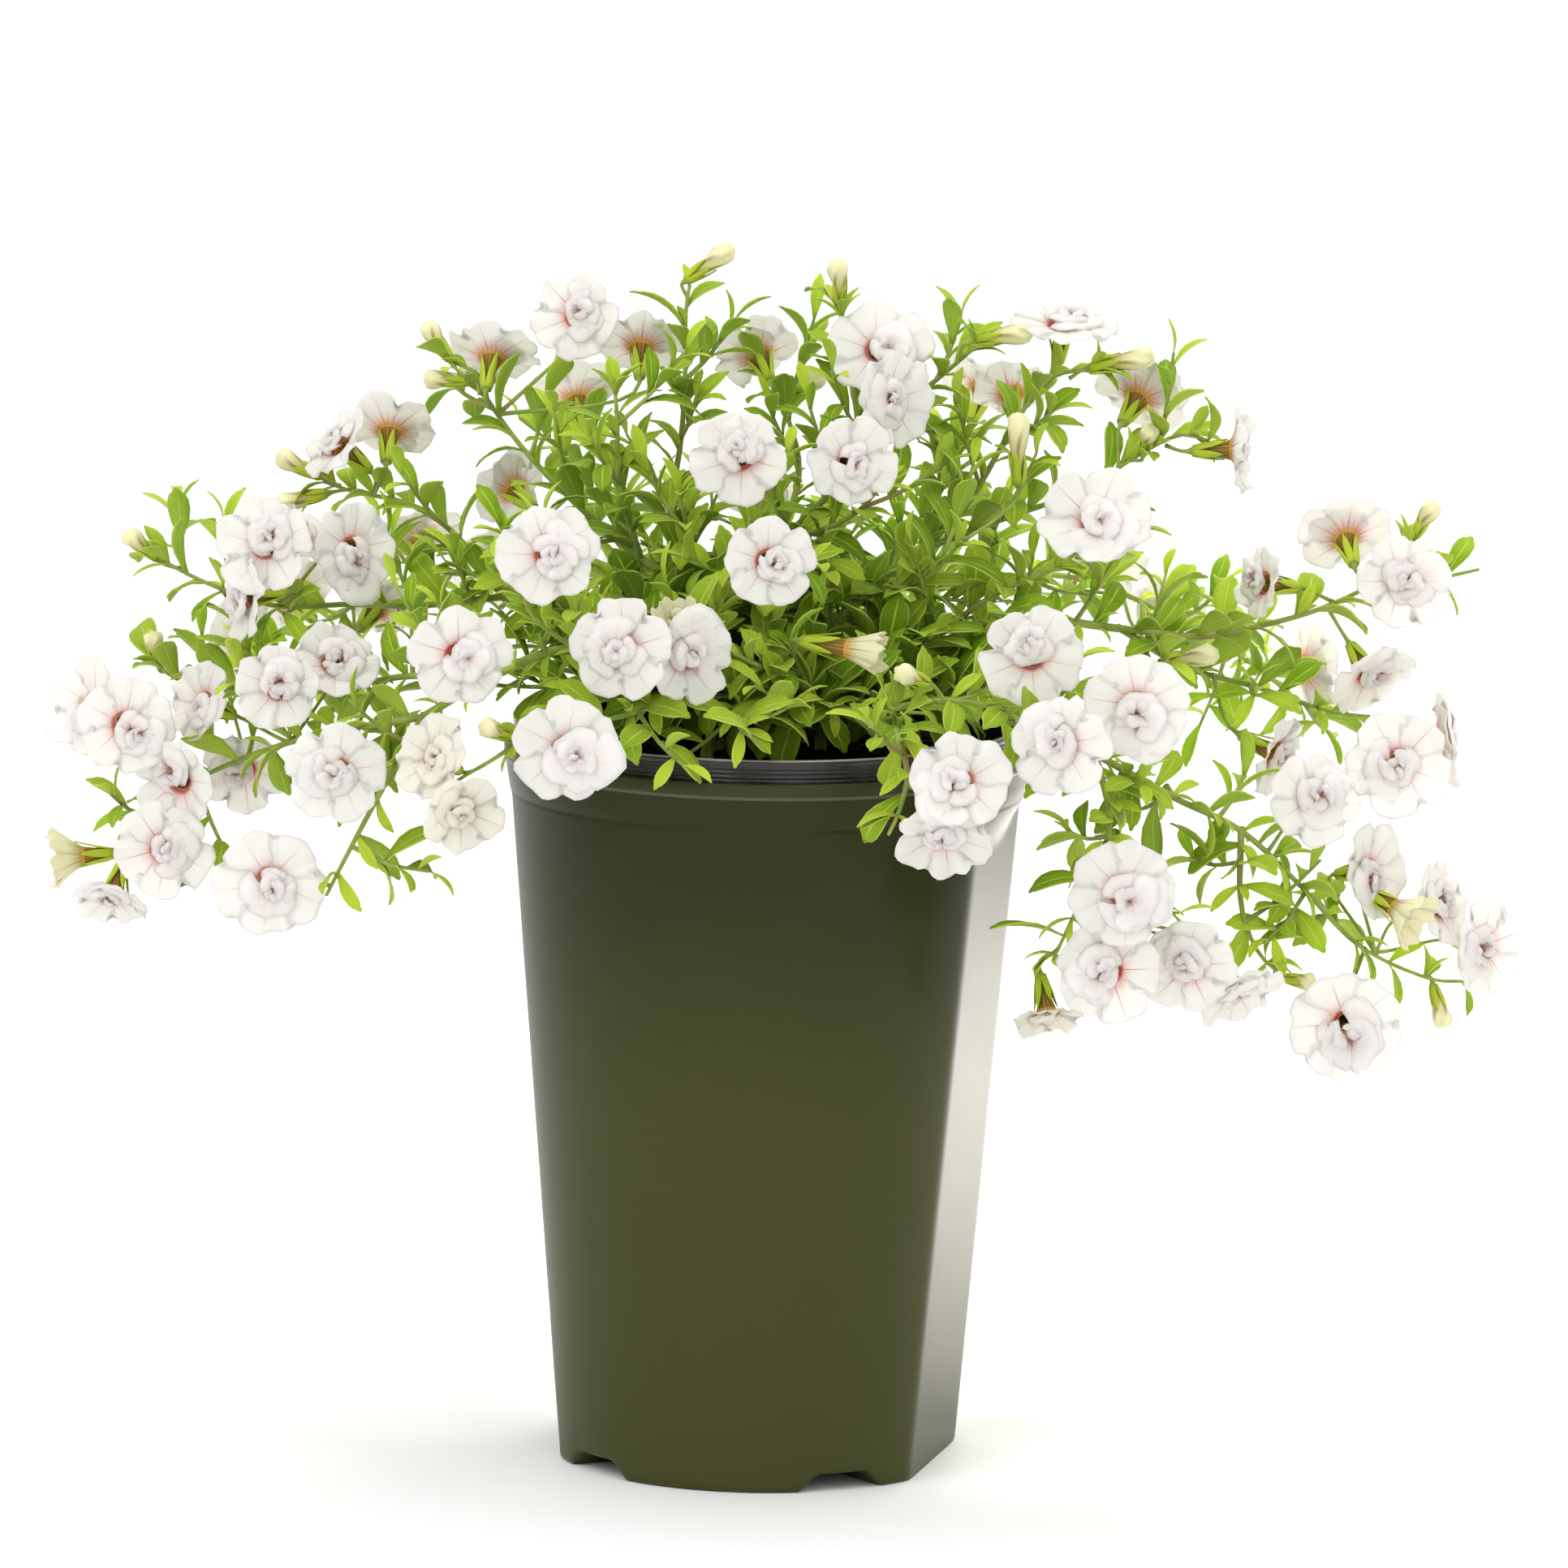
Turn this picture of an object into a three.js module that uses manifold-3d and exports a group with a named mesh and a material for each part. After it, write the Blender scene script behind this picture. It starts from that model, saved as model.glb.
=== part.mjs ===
// Double-flowered calibrachoa in a nursery pot, in millimetres, +Z up.
// The pot stands on z = 0 about the Z axis, its label side to -Y and its two flats to +X and -X.
import * as THREE from "three";
import Module from "manifold-3d";

const wasm = await Module();
wasm.setup();

// ---- driving dimensions -------------------------------------------------------------------
const GAP = 0.35;               // clear space between pieces that touch
const TURN = 14;                // degrees that the plant is turned in its pot

const POT = {
  height: 212.7,
  baseRadius: 59,
  bandZ: 192,                   // the faint ring above the flats
  bandRadius: 73.3,
  lipZ: 202,
  lipTop: 206.2,
  lipRadius: 75,
  collarRadius: 72,
  rimBore: 70.2,
  wall: 1.8,
  floor: 2,
  flatAtBase: 51.4,             // distance of each flat from the axis
  flatAtBand: 68.4,
  sides: 32,
  soilSides: 16,
};
const NOTCH = { height: 5, depth: 20, inner: 30.7, outer: 46, slope: 5 };   // degrees round the foot
const SOIL = { top: 202, mound: 3, sides: 14 };
const STEM = { foot: 190, neck: 209, baseRadius: 2.1, forkRadius: 1.35, tipRadius: 0.7, step: 21 };
const LEAF = { spacing: 11.8, length: 18, width: 6.4, thickness: 1 };
const TUBE = 13.5;              // length of a corolla from its foot to the plane of its edge

// ---- the plant's own plan: x to the right, y to the back, z up ------------------------------
// Every stem comes out of its own hole; its branches start at a point of the stem before them.
const PLANTS = {
  stem_left_low: {
    hole: [-14, -8],
    routes: [
      [[-20, -18, 224], [-38, -28, 233], [-59, -40, 238], [-79, -50, 231], [-97, -50, 220]],
      [[-97, -50, 220], [-125, -38, 213], [-148, -22, 203], [-167, -20, 193], [-183, -17, 178]],
      [[-97, -50, 220], [-108, -62, 201], [-117, -66, 184], [-123, -68, 172]],
      [[-79, -50, 231], [-102, -34, 229], [-125, -18, 222], [-149, -4, 218], [-167, 0, 221], [-174, 0, 226]],
    ],
  },
  stem_left_high: {
    hole: [-16, 2],
    routes: [
      [[-25, 2, 232], [-43, 4, 238], [-60, 5, 242], [-76, 5, 246]],
      [[-76, 5, 246], [-99, 0, 244], [-120, 0, 244], [-140, -5, 244], [-159, -5, 250], [-175, 0, 257]],
      [[-76, 5, 246], [-90, 16, 262], [-104, 22, 270], [-118, 27, 272], [-128, 28, 275]],
      [[-60, 5, 242], [-70, -14, 256], [-76, -22, 270]],
    ],
  },
  stem_top_left: {
    hole: [-9, 9],
    routes: [
      [[-18, 12, 233], [-27, 14, 249], [-37, 15, 256]],
      [[-37, 15, 256], [-53, 22, 268], [-70, 28, 284], [-82, 30, 300], [-84, 32, 306], [-93, 32, 310]],
      [[-37, 15, 256], [-43, 5, 278], [-44, 4, 297], [-45, 4, 309]],
      [[-27, 14, 249], [-29, 22, 266], [-26, 24, 289], [-25, 22, 309], [-25, 22, 326], [-24, 22, 334]],
      [[-27, 14, 249], [-24, -4, 266], [-26, -14, 280]],
    ],
  },
  stem_top: {
    hole: [0, 7],
    routes: [
      [[-3, 12, 231], [-3, 14, 244], [2, 20, 260]],
      [[2, 20, 260], [8, 32, 279], [3, 42, 297], [-3, 46, 306]],
      [[2, 20, 260], [18, 14, 278], [24, 10, 297], [21, 10, 315], [19, 12, 329]],
      [[24, 10, 297], [40, 13, 304], [52, 10, 314], [57, 6, 319]],
      [[-3, 14, 244], [-2, -25, 260], [-6, -34, 273], [-8, -30, 285]],
      [[2, 20, 260], [22, -8, 272], [34, -18, 286]],
    ],
  },
  stem_top_right: {
    hole: [9, 9],
    routes: [
      [[12, 12, 231], [24, 14, 244], [42, 15, 259]],
      [[42, 15, 259], [56, 16, 273], [68, 16, 294], [78, 14, 309], [91, 12, 313]],
      [[42, 15, 259], [67, 16, 269], [88, 15, 277], [104, 12, 288], [116, 6, 295], [124, 2, 294]],
      [[24, 14, 244], [44, -14, 256], [54, -22, 268]],
    ],
  },
  stem_right: {
    hole: [15, -3],
    routes: [
      [[21, 2, 226], [42, 0, 233], [72, 0, 242], [100, 0, 240]],
      [[100, 0, 240], [123, 0, 238], [141, 4, 241], [158, 6, 246], [174, 10, 254], [184, 10, 266]],
      [[100, 0, 240], [119, 7, 228], [140, 9, 222], [160, 0, 217], [174, -10, 217]],
      [[42, 0, 233], [62, -12, 250], [80, -20, 260], [88, -22, 266]],
      [[21, 2, 226], [42, -24, 224], [69, -42, 219], [92, -55, 213]],
      [[92, -55, 213], [115, -45, 199], [134, -40, 189], [151, -36, 173], [168, -30, 155], [188, -26, 145],
        [200, -20, 143]],
      [[134, -40, 189], [134, -48, 170], [139, -48, 156], [147, -46, 148]],
      [[92, -55, 213], [96, -68, 195], [89, -76, 177], [81, -74, 158]],
    ],
  },
  stem_front: {
    hole: [0, -13],
    routes: [
      [[2, -24, 220], [14, -44, 224], [26, -60, 224], [36, -78, 222]],
      [[36, -78, 222], [39, -90, 213], [37, -94, 203], [34, -94, 196]],
      [[26, -60, 224], [51, -70, 230], [71, -84, 227], [87, -92, 215]],
      [[14, -44, 224], [9, -44, 234], [6, -52, 242]],
      [[2, -24, 220], [-20, -42, 226], [-42, -76, 225], [-60, -86, 223], [-70, -88, 219]],
      [[2, -24, 220], [-8, -48, 223], [-8, -70, 222], [-2, -82, 219]],
      [[-20, -42, 226], [-18, -50, 238], [-24, -55, 246]],
      [[-20, -42, 226], [-46, -60, 238], [-65, -64, 250], [-70, -64, 262]],
    ],
  },
  stem_back: {
    hole: [0, 20],
    routes: [
      [[-6, 32, 230], [-26, 60, 240], [-42, 86, 238]],
      [[-42, 86, 238], [-75, 98, 236], [-108, 108, 224], [-135, 118, 212], [-150, 120, 202]],
      [[-42, 86, 238], [-46, 114, 230], [-40, 130, 214], [-34, 140, 198]],
      [[-26, 60, 240], [-42, 78, 262], [-52, 90, 280]],
      [[-6, 32, 230], [30, 60, 240], [50, 84, 238]],
      [[50, 84, 238], [84, 98, 240], [116, 106, 228], [142, 112, 212], [156, 116, 200]],
      [[50, 84, 238], [38, 118, 232], [32, 136, 216], [36, 146, 200]],
      [[30, 60, 240], [46, 78, 262], [56, 88, 282]],
      [[30, 60, 240], [6, 86, 250], [-2, 96, 256]],
    ],
  },
};

// Blooms: middle of the face, heading round (0 to -Y, + to +X), lift above level, diameter, kind.
// A name of its own makes a node; blooms that lean on each other share one.
const BLOOMS = [
  ["bloom_crest_left", "stem_top_left", -80, 36, 313, 170, 45, 26],
  ["bloom_crest_left", "stem_top_left", -57, 22, 325, -18, 12, 25],
  ["bloom_crest_left", "stem_top_left", -38, 32, 317, 180, 42, 24],
  ["bloom_crest_back", "stem_top", -5, 50, 312, -160, 32, 24],
  ["bloom_crest_right", "stem_top", 30, 2, 320, 5, 38, 30],
  ["bloom_crest_right", "stem_top", 35, -14, 307, 42, 8, 27],
  ["bloom_top_right", "stem_top_right", 82, 10, 328, 10, 72, 30],
  ["bloom_shoulder_right", "stem_top_right", 106, 30, 304, 150, 32, 28],
  ["bloom_side_right", "stem_top_right", 134, 0, 292, 82, 4, 25],
  ["bloom_hidden_right", "stem_top_right", 68, 44, 303, -170, 40, 22],
  ["bloom_upper_middle", "stem_top", -9, -50, 295, -10, 5, 27],
  ["bloom_upper_near", "stem_top", 23, -40, 293, 20, 14, 25],
  ["bloom_shoulder_left", "stem_left_high", -109, 30, 292, 175, 42, 26],
  ["bloom_shoulder_left", "stem_left_high", -125, 16, 289, -65, 40, 24],
  ["bloom_hidden_left", "stem_top_left", -76, 60, 270, -145, 20, 24],
  ["bloom_middle_left", "stem_front", -62, -80, 271, -5, 6, 28],
  ["bloom_middle", "stem_top", 0, -72, 269, 10, 8, 25],
  ["bloom_middle_right", "stem_right", 91, -38, 278, -5, 38, 31],
  ["bloom_high_right", "stem_right", 163, 6, 268, -168, 32, 27],
  ["bloom_high_right", "stem_right", 179, -15, 257, 5, 5, 27],
  ["bloom_hanging_right", "stem_right", 172, -8, 227, 35, -38, 26],
  ["bloom_far_right", "stem_right", 178, -40, 209, 0, 8, 30],
  ["bloom_far_right", "stem_right", 193, -24, 213, 98, 8, 27],
  ["bloom_cluster_left", "stem_left_high", -143, -28, 265, -15, 14, 28],
  ["bloom_cluster_left", "stem_left_high", -132, -8, 266, 55, 48, 24],
  ["bloom_cluster_left", "stem_left_high", -150, -25, 250, -62, 0, 26],
  ["bloom_cluster_left", "stem_left_high", -117, -12, 262, 32, 12, 25],
  ["bloom_small_left", "stem_left_high", -112, 26, 240, 160, 20, 20],
  ["bloom_inner_left", "stem_left_low", -86, -90, 244, 0, 5, 28],
  ["bloom_outer_left", "stem_left_low", -122, -36, 234, 12, 38, 24],
  ["bloom_outer_left", "stem_left_low", -138, -50, 228, -8, 10, 24],
  ["bloom_outer_left", "stem_left_low", -162, -26, 220, -50, 22, 23],
  ["bloom_pair_front", "stem_front", -41, -88, 246, -8, 6, 28],
  ["bloom_pair_front", "stem_front", -22, -76, 242, 28, 0, 26],
  ["bloom_pair_front", "stem_front", -26, -68, 252, -10, 52, 13],
  ["bloom_inner_right", "stem_right", 73, -85, 245, 0, 8, 28],
  ["bloom_pair_right", "stem_front", 102, -100, 234, -6, 2, 29],
  ["bloom_pair_right", "stem_front", 81, -110, 224, -12, -4, 28],
  ["bloom_rim_left", "stem_front", -56, -105, 220, -3, -4, 29],
  ["bloom_low_left", "stem_left_low", -120, -80, 209, 0, 2, 28],
  ["bloom_cream_left", "stem_front", -94, -96, 217, -38, 24, 24],
  ["bloom_cream_left", "stem_front", -84, -102, 201, 15, -16, 23],
  ["bloom_far_left", "stem_left_low", -193, -28, 218, -42, 14, 27],
  ["bloom_far_left", "stem_left_low", -181, -42, 215, 6, 2, 27],
  ["bloom_far_left", "stem_left_low", -167, -42, 199, -30, -5, 25],
  ["bloom_trailing_left", "stem_left_low", -170, -45, 180, 0, 0, 28],
  ["bloom_trailing_left", "stem_left_low", -185, -36, 163, -18, -48, 22],
  ["bloom_lowest_left", "stem_left_low", -139, -72, 176, 0, -6, 31],
  ["bloom_funnel_left", "stem_left_low", -200, -12, 172, -84, -4, 17],
  ["bloom_over_rim", "stem_front", 54, -112, 215, 6, 22, 27],
  ["bloom_over_rim", "stem_front", 49, -106, 196, -5, -32, 27],
  ["bloom_outer_right", "stem_right", 154, -50, 200, 10, 12, 26],
  ["bloom_low_right", "stem_right", 99, -98, 181, 0, 0, 29],
  ["bloom_low_right", "stem_right", 96, -94, 158, 0, -2, 29],
  ["bloom_low_right", "stem_right", 118, -82, 157, -8, -8, 27],
  ["bloom_low_right", "stem_right", 134, -70, 146, 40, -45, 26],
  ["bloom_lowest_right", "stem_right", 164, -60, 137, 0, -6, 31],
  ["bloom_trailing_right", "stem_right", 173, -32, 177, 50, 12, 27],
  ["bloom_trailing_right", "stem_right", 193, -22, 166, 60, 22, 25],
  ["bloom_trailing_right", "stem_right", 206, -22, 153, 42, 0, 27],
  ["bloom_trailing_right", "stem_right", 182, -40, 165, 55, -22, 17],
  ["bloom_cream_right", "stem_right", 80, -66, 138, 18, -58, 19],
  ["bloom_behind_right", "stem_right", 146, -16, 206, 60, -22, 23],
  ["bloom_between_right", "stem_right", 138, 0, 254, -60, 10, 20],
  ["bloom_behind_left", "stem_left_low", -149, -8, 196, 5, -22, 24],
  ["bloom_half_open", "stem_front", 23, -62, 243, 76, -6, 12],
  ["bloom_back_left", "stem_back", -158, 122, 214, -125, 5, 27],
  ["bloom_back_left", "stem_back", -142, 136, 226, -145, 25, 28],
  ["bloom_back_left_high", "stem_back", -104, 122, 246, -155, 45, 27],
  ["bloom_back_left_high", "stem_back", -80, 130, 236, -172, 22, 28],
  ["bloom_back_low", "stem_back", -50, 164, 206, -172, -8, 29],
  ["bloom_back_low", "stem_back", -38, 160, 226, 175, 22, 28],
  ["bloom_back_crest_left", "stem_back", -58, 106, 292, -160, 50, 27],
  ["bloom_back_crest_right", "stem_back", 62, 104, 296, 155, 48, 27],
  ["bloom_back_middle", "stem_back", 28, 168, 212, 172, -5, 28],
  ["bloom_back_middle", "stem_back", 12, 160, 231, 178, 30, 27],
  ["bloom_back_right", "stem_back", 98, 118, 244, 150, 30, 28],
  ["bloom_back_right", "stem_back", 118, 124, 226, 140, 10, 27],
  ["bloom_back_far_right", "stem_back", 160, 122, 210, 120, 0, 28],
  ["bloom_back_inner", "stem_back", -4, 110, 264, 178, 40, 26],
];

// Buds and seed calyces: foot of the bud, heading round, lift, length.
const BUDS = [
  ["stem_top_left", -24, 22, 336, 60, 35, 17],
  ["stem_top_left", -93, 32, 311, -120, 50, 12],
  ["stem_top_left", -88, 32, 304, -80, 5, 12],
  ["stem_top", 19, 12, 331, -20, 75, 13],
  ["stem_top", 57, 6, 321, 85, 12, 17],
  ["stem_top", 4, 42, 300, 70, 30, 13],
  ["stem_top_right", 91, 12, 313, 80, 14, 18],
  ["stem_top_right", 70, -12, 284, -10, 80, 20],
  ["stem_top_right", 106, 8, 290, 20, 60, 9],
  ["stem_left_high", -130, 28, 277, -95, 25, 13],
  ["stem_left_high", -128, 24, 272, -88, -14, 14],
  ["stem_left_high", -175, 0, 257, -80, 40, 11],
  ["stem_left_low", -174, 0, 227, -30, 70, 9],
  ["stem_right", 184, 10, 267, 60, 60, 11],
  ["stem_right", 112, -6, 231, 70, 14, 17],
  ["stem_right", 190, -26, 142, 30, -60, 12],
  ["stem_right", 147, -46, 148, 70, -5, 9],
  ["stem_front", 44, -76, 236, -40, 20, 13],
  ["stem_front", -72, -90, 222, -50, 20, 10],
];

// ---- small tools ----------------------------------------------------------------------------
function random(n) {
  const x = Math.sin(n * 12.9898 + 4.1414) * 43758.5453;
  return x - Math.floor(x);
}

// Joins the doubled corners of a geometry, so that its faces share them and close up.
function welded(geometry) {
  const position = geometry.getAttribute("position");
  const corner = new Map();
  const points = [];
  const slot = [];
  for (let i = 0; i < position.count; i += 1) {
    const p = [position.getX(i), position.getY(i), position.getZ(i)];
    const key = p.map((v) => Math.round(v * 4096)).join();
    if (!corner.has(key)) {
      corner.set(key, points.length / 3);
      points.push(...p);
    }
    slot.push(corner.get(key));
  }
  const index = geometry.getIndex() ? Array.from(geometry.getIndex().array) : slot.map((_, i) => i);
  const triangles = [];
  for (let i = 0; i < index.length; i += 3) {
    const [a, b, c] = [slot[index[i]], slot[index[i + 1]], slot[index[i + 2]]];
    if (a !== b && b !== c && c !== a) triangles.push(a, b, c);
  }
  const joined = new THREE.BufferGeometry();
  joined.setAttribute("position", new THREE.Float32BufferAttribute(points, 3));
  joined.setIndex(triangles);
  return joined;
}

function toSolid(geometry) {
  return new wasm.Manifold(new wasm.Mesh({
    numProp: 3,
    vertProperties: new Float32Array(geometry.getAttribute("position").array),
    triVerts: new Uint32Array(geometry.getIndex().array),
  }));
}

function toMesh(name, solid, material) {
  const raw = solid.getMesh();
  const geometry = new THREE.BufferGeometry();
  geometry.setAttribute("position", new THREE.BufferAttribute(new Float32Array(raw.vertProperties), 3));
  geometry.setIndex(new THREE.BufferAttribute(new Uint32Array(raw.triVerts), 1));
  geometry.computeVertexNormals();
  const mesh = new THREE.Mesh(geometry, material);
  mesh.name = name;
  return mesh;
}

function mapPoints(geometry, change) {
  const position = geometry.getAttribute("position");
  const p = new THREE.Vector3();
  for (let i = 0; i < position.count; i += 1) {
    p.fromBufferAttribute(position, i);
    change(p);
    position.setXYZ(i, p.x, p.y, p.z);
  }
  return geometry;
}

function turned(profile, sides) {
  const points = profile.map(([r, z]) => new THREE.Vector2(r, z));
  return welded(new THREE.LatheGeometry(points, sides).rotateX(Math.PI / 2));
}

function heading(round, lift) {
  const a = THREE.MathUtils.degToRad(round);
  const e = THREE.MathUtils.degToRad(lift);
  return new THREE.Vector3(Math.sin(a) * Math.cos(e), -Math.cos(a) * Math.cos(e), Math.sin(e));
}

// ---- the pot ----------------------------------------------------------------------------------
// A slab between the two leaning flats, its planes moved outward by `out`.
function betweenFlats(out) {
  const lean = (POT.flatAtBand - POT.flatAtBase) / POT.bandZ;
  const low = POT.flatAtBase - lean * 20 + out;
  const high = POT.flatAtBase + lean * POT.height + out;
  const section = new THREE.Shape([
    new THREE.Vector2(-low, -20),
    new THREE.Vector2(low, -20),
    new THREE.Vector2(high, POT.height),
    new THREE.Vector2(-high, POT.height),
  ]);
  const slab = welded(new THREE.ExtrudeGeometry(section, { depth: 200, bevelEnabled: false }));
  return toSolid(slab.rotateX(Math.PI / 2).translate(0, 100, 0));
}

// The cone that softens the top of each flat into the round band.
function shoulder(shrink) {
  const r = POT.bandRadius - shrink;
  const top = POT.bandZ + 6;
  return toSolid(turned([[0, 172], [r - 9, 176], [r, POT.bandZ], [r, top], [0, top]], POT.sides));
}

function wallRadius(z) {
  return POT.baseRadius + (POT.bandRadius - POT.baseRadius) * z / POT.bandZ;
}

// One notch in the foot, from the outside in to `depth`, with sloping ends, grown by `grow`.
function footNotch(grow) {
  const outside = POT.baseRadius + 4;
  const span = (angle) => outside * Math.tan(THREE.MathUtils.degToRad(angle));
  const half = (NOTCH.outer - NOTCH.inner) / 2;
  const section = new THREE.Shape([
    new THREE.Vector2(-span(half + NOTCH.slope) - grow, -2),
    new THREE.Vector2(span(half + NOTCH.slope) + grow, -2),
    new THREE.Vector2(span(half) + grow, NOTCH.height + grow),
    new THREE.Vector2(-span(half) - grow, NOTCH.height + grow),
  ]);
  const length = outside - (POT.baseRadius - NOTCH.depth) + grow;
  const prism = welded(new THREE.ExtrudeGeometry(section, { depth: length, bevelEnabled: false }));
  return prism.rotateX(Math.PI / 2).translate(0, -(POT.baseRadius - NOTCH.depth) + grow, 0);
}

function footNotches(grow) {
  const middle = (NOTCH.outer + NOTCH.inner) / 2;
  const places = [middle, -middle, 180 - middle, 180 + middle];
  const solids = places.map((angle) => toSolid(footNotch(grow).rotateZ(THREE.MathUtils.degToRad(angle))));
  return wasm.Manifold.union(solids);
}

// What fills the pot's hollow: the bore of the wall, the flats and the raised notch roofs.
function potHollow(shrink, sides) {
  const inset = POT.wall + shrink;
  const low = POT.floor + shrink;
  const band = POT.bandZ;
  const bore = toSolid(turned([
    [0, low],
    [wallRadius(low) - inset, low],
    [POT.bandRadius - inset, band],
    [POT.rimBore - shrink, POT.lipTop],
    [POT.rimBore - shrink, POT.height + 1],
    [0, POT.height + 1],
  ], sides));
  const upper = toSolid(turned([
    [0, band], [90, band], [90, POT.height + 2], [0, POT.height + 2],
  ], 4));
  const room = betweenFlats(-inset).add(shoulder(inset)).add(upper);
  return bore.intersect(room).subtract(footNotches(inset));
}

function buildPot() {
  const wall = toSolid(turned([
    [0, 0],
    [POT.baseRadius - 0.8, 0],
    [POT.baseRadius, 1.5],
    [POT.bandRadius, POT.bandZ],
    [0, POT.bandZ],
  ], POT.sides));
  const top = toSolid(turned([
    [0, POT.bandZ - 1],
    [POT.bandRadius, POT.bandZ - 1],
    [POT.lipRadius, POT.lipZ],
    [POT.lipRadius, POT.lipTop],
    [POT.collarRadius, POT.lipTop],
    [POT.collarRadius, POT.height - 0.8],
    [POT.collarRadius - 0.6, POT.height],
    [0, POT.height],
  ], POT.sides));
  const outside = wall.intersect(betweenFlats(0)).add(shoulder(0)).add(top);
  return outside.subtract(footNotches(0)).subtract(potHollow(0, POT.sides));
}

// ---- the soil ------------------------------------------------------------------------------------
function buildSoil() {
  const rings = [[0, SOIL.mound], [22, SOIL.mound - 0.6], [46, 0.6], [69.6, -1]];
  const surface = rings.map(([r, rise]) => [r, SOIL.top + rise]);
  const heap = turned([[0, 0], [90, 0], [90, SOIL.top - 1], ...surface.reverse()], SOIL.sides);
  mapPoints(heap, (p) => {
    const r = Math.hypot(p.x, p.y);
    const lump = 2.4 * random(Math.round(p.x * 3) + Math.round(p.y * 7)) - 1.2;
    if (p.z > SOIL.top - 1.5 && r > 4 && r < 60) p.z += lump;
  });
  let soil = toSolid(heap).intersect(potHollow(GAP, POT.soilSides));
  for (const plant of Object.values(PLANTS)) {
    const hole = turned([
      [0, STEM.foot - GAP],
      [STEM.baseRadius + 2 * GAP, STEM.foot - GAP],
      [STEM.baseRadius + 2 * GAP, SOIL.top + 12],
      [0, SOIL.top + 12],
    ], 6);
    const at = new THREE.Vector2(...plant.hole).rotateAround(new THREE.Vector2(), THREE.MathUtils.degToRad(TURN));
    soil = soil.subtract(toSolid(hole).translate([at.x, at.y, 0]));
  }
  return soil;
}

// ---- stems -----------------------------------------------------------------------------------------
// A stem's middle line: straight steps between points of a smooth curve through the route.
class Route {
  constructor(points, radii) {
    this.radii = radii;
    const through = points.map((p) => new THREE.Vector3(...p));
    const curve = new THREE.CatmullRomCurve3(through, false, "catmullrom", 0.5);
    this.steps = Math.max(1, Math.round(curve.getLength() / STEM.step));
    this.line = curve.getSpacedPoints(this.steps);
    this.length = this.line.slice(1).reduce((sum, p, i) => sum + p.distanceTo(this.line[i]), 0);
    const chord = this.at(1).sub(this.at(0)).normalize();
    this.across = new THREE.Vector3().crossVectors(chord, new THREE.Vector3(0, 0, 1));
    if (this.across.length() < 0.3) this.across.set(1, 0, 0);
    this.across.normalize();
  }

  at(u) {
    const i = Math.min(Math.floor(u * this.steps), this.steps - 1);
    return this.line[i].clone().lerp(this.line[i + 1], u * this.steps - i);
  }

  // Two directions across the stem and the one along it.
  frame(u) {
    const along = this.at(Math.min(u + 0.02, 1)).sub(this.at(Math.max(u - 0.02, 0))).normalize();
    const side = this.across.clone().addScaledVector(along, -this.across.dot(along)).normalize();
    const front = new THREE.Vector3().crossVectors(along, side);
    return { along, side, front };
  }

  radius(u) {
    return THREE.MathUtils.lerp(this.radii[0], this.radii[1], u);
  }

  nearest(point) {
    let best = 0;
    for (let i = 0; i <= 40; i += 1) {
      if (this.at(i / 40).distanceTo(point) < this.at(best).distanceTo(point)) best = i / 40;
    }
    return best;
  }
}

function sweep(route, sides) {
  const tube = welded(new THREE.CylinderGeometry(1, 1, 1, sides, route.steps));
  return toSolid(mapPoints(tube, (p) => {
    const u = p.y + 0.5;
    const { side, front } = route.frame(u);
    const r = route.radius(u);
    p.copy(route.at(u).addScaledVector(side, -p.x * r).addScaledVector(front, p.z * r));
  }));
}

// The stem's straight foot stands in its hole; every route starts where another one passes.
function stemFoot(hole) {
  const [x, y] = hole;
  const foot = new THREE.CylinderGeometry(STEM.baseRadius, STEM.baseRadius, STEM.neck - STEM.foot, 5, 1);
  return toSolid(welded(foot.rotateX(Math.PI / 2))).translate([x, y, (STEM.neck + STEM.foot) / 2]);
}

function plantRoutes(plant) {
  const [x, y] = plant.hole;
  return plant.routes.map((points, i) => {
    if (i === 0) return new Route([[x, y, STEM.neck - 1], ...points], [STEM.baseRadius, STEM.forkRadius]);
    const [from, next] = points.map((p) => new THREE.Vector3(...p));
    const start = from.clone().add(from.clone().sub(next).setLength(1.2));
    return new Route([start.toArray(), ...points.slice(1)], [STEM.forkRadius, STEM.tipRadius]);
  });
}

// ---- leaves ----------------------------------------------------------------------------------------
// One arched blade with a keel under it: a point at the stem, broad past its middle, blunt at its tip.
function leafSolid(root, out, face, length) {
  const side = new THREE.Vector3().crossVectors(out, face).normalize();
  const width = LEAF.width * length / LEAF.length;
  const bend = 0.9;
  const start = 0.3;
  const blade = new THREE.BoxGeometry(1, 1, 1, 1, 2, 1);
  mapPoints(blade, (p) => {
    const row = Math.round((p.y + 0.5) * 2);
    const keel = p.z < 0 && row === 1;
    const t = [0, 0.62, 1][row];
    const across = keel ? 0 : [0, 1, 0.4][row] * width;
    const forward = length / bend * (Math.sin(start) - Math.sin(start - bend * t));
    const rise = length / bend * (Math.cos(start - bend * t) - Math.cos(start));
    const at = root.clone().addScaledVector(out, forward).addScaledVector(face, rise);
    p.copy(at.addScaledVector(side, p.x * across).addScaledVector(face, keel ? -LEAF.thickness : 0));
  });
  return toSolid(welded(blade));
}

// ---- blooms ----------------------------------------------------------------------------------------
function placed(geometry, direction, roll, point) {
  const turn = new THREE.Quaternion().setFromUnitVectors(new THREE.Vector3(0, 0, 1), direction);
  return geometry.rotateZ(roll).applyQuaternion(turn).translate(point.x, point.y, point.z);
}

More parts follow.
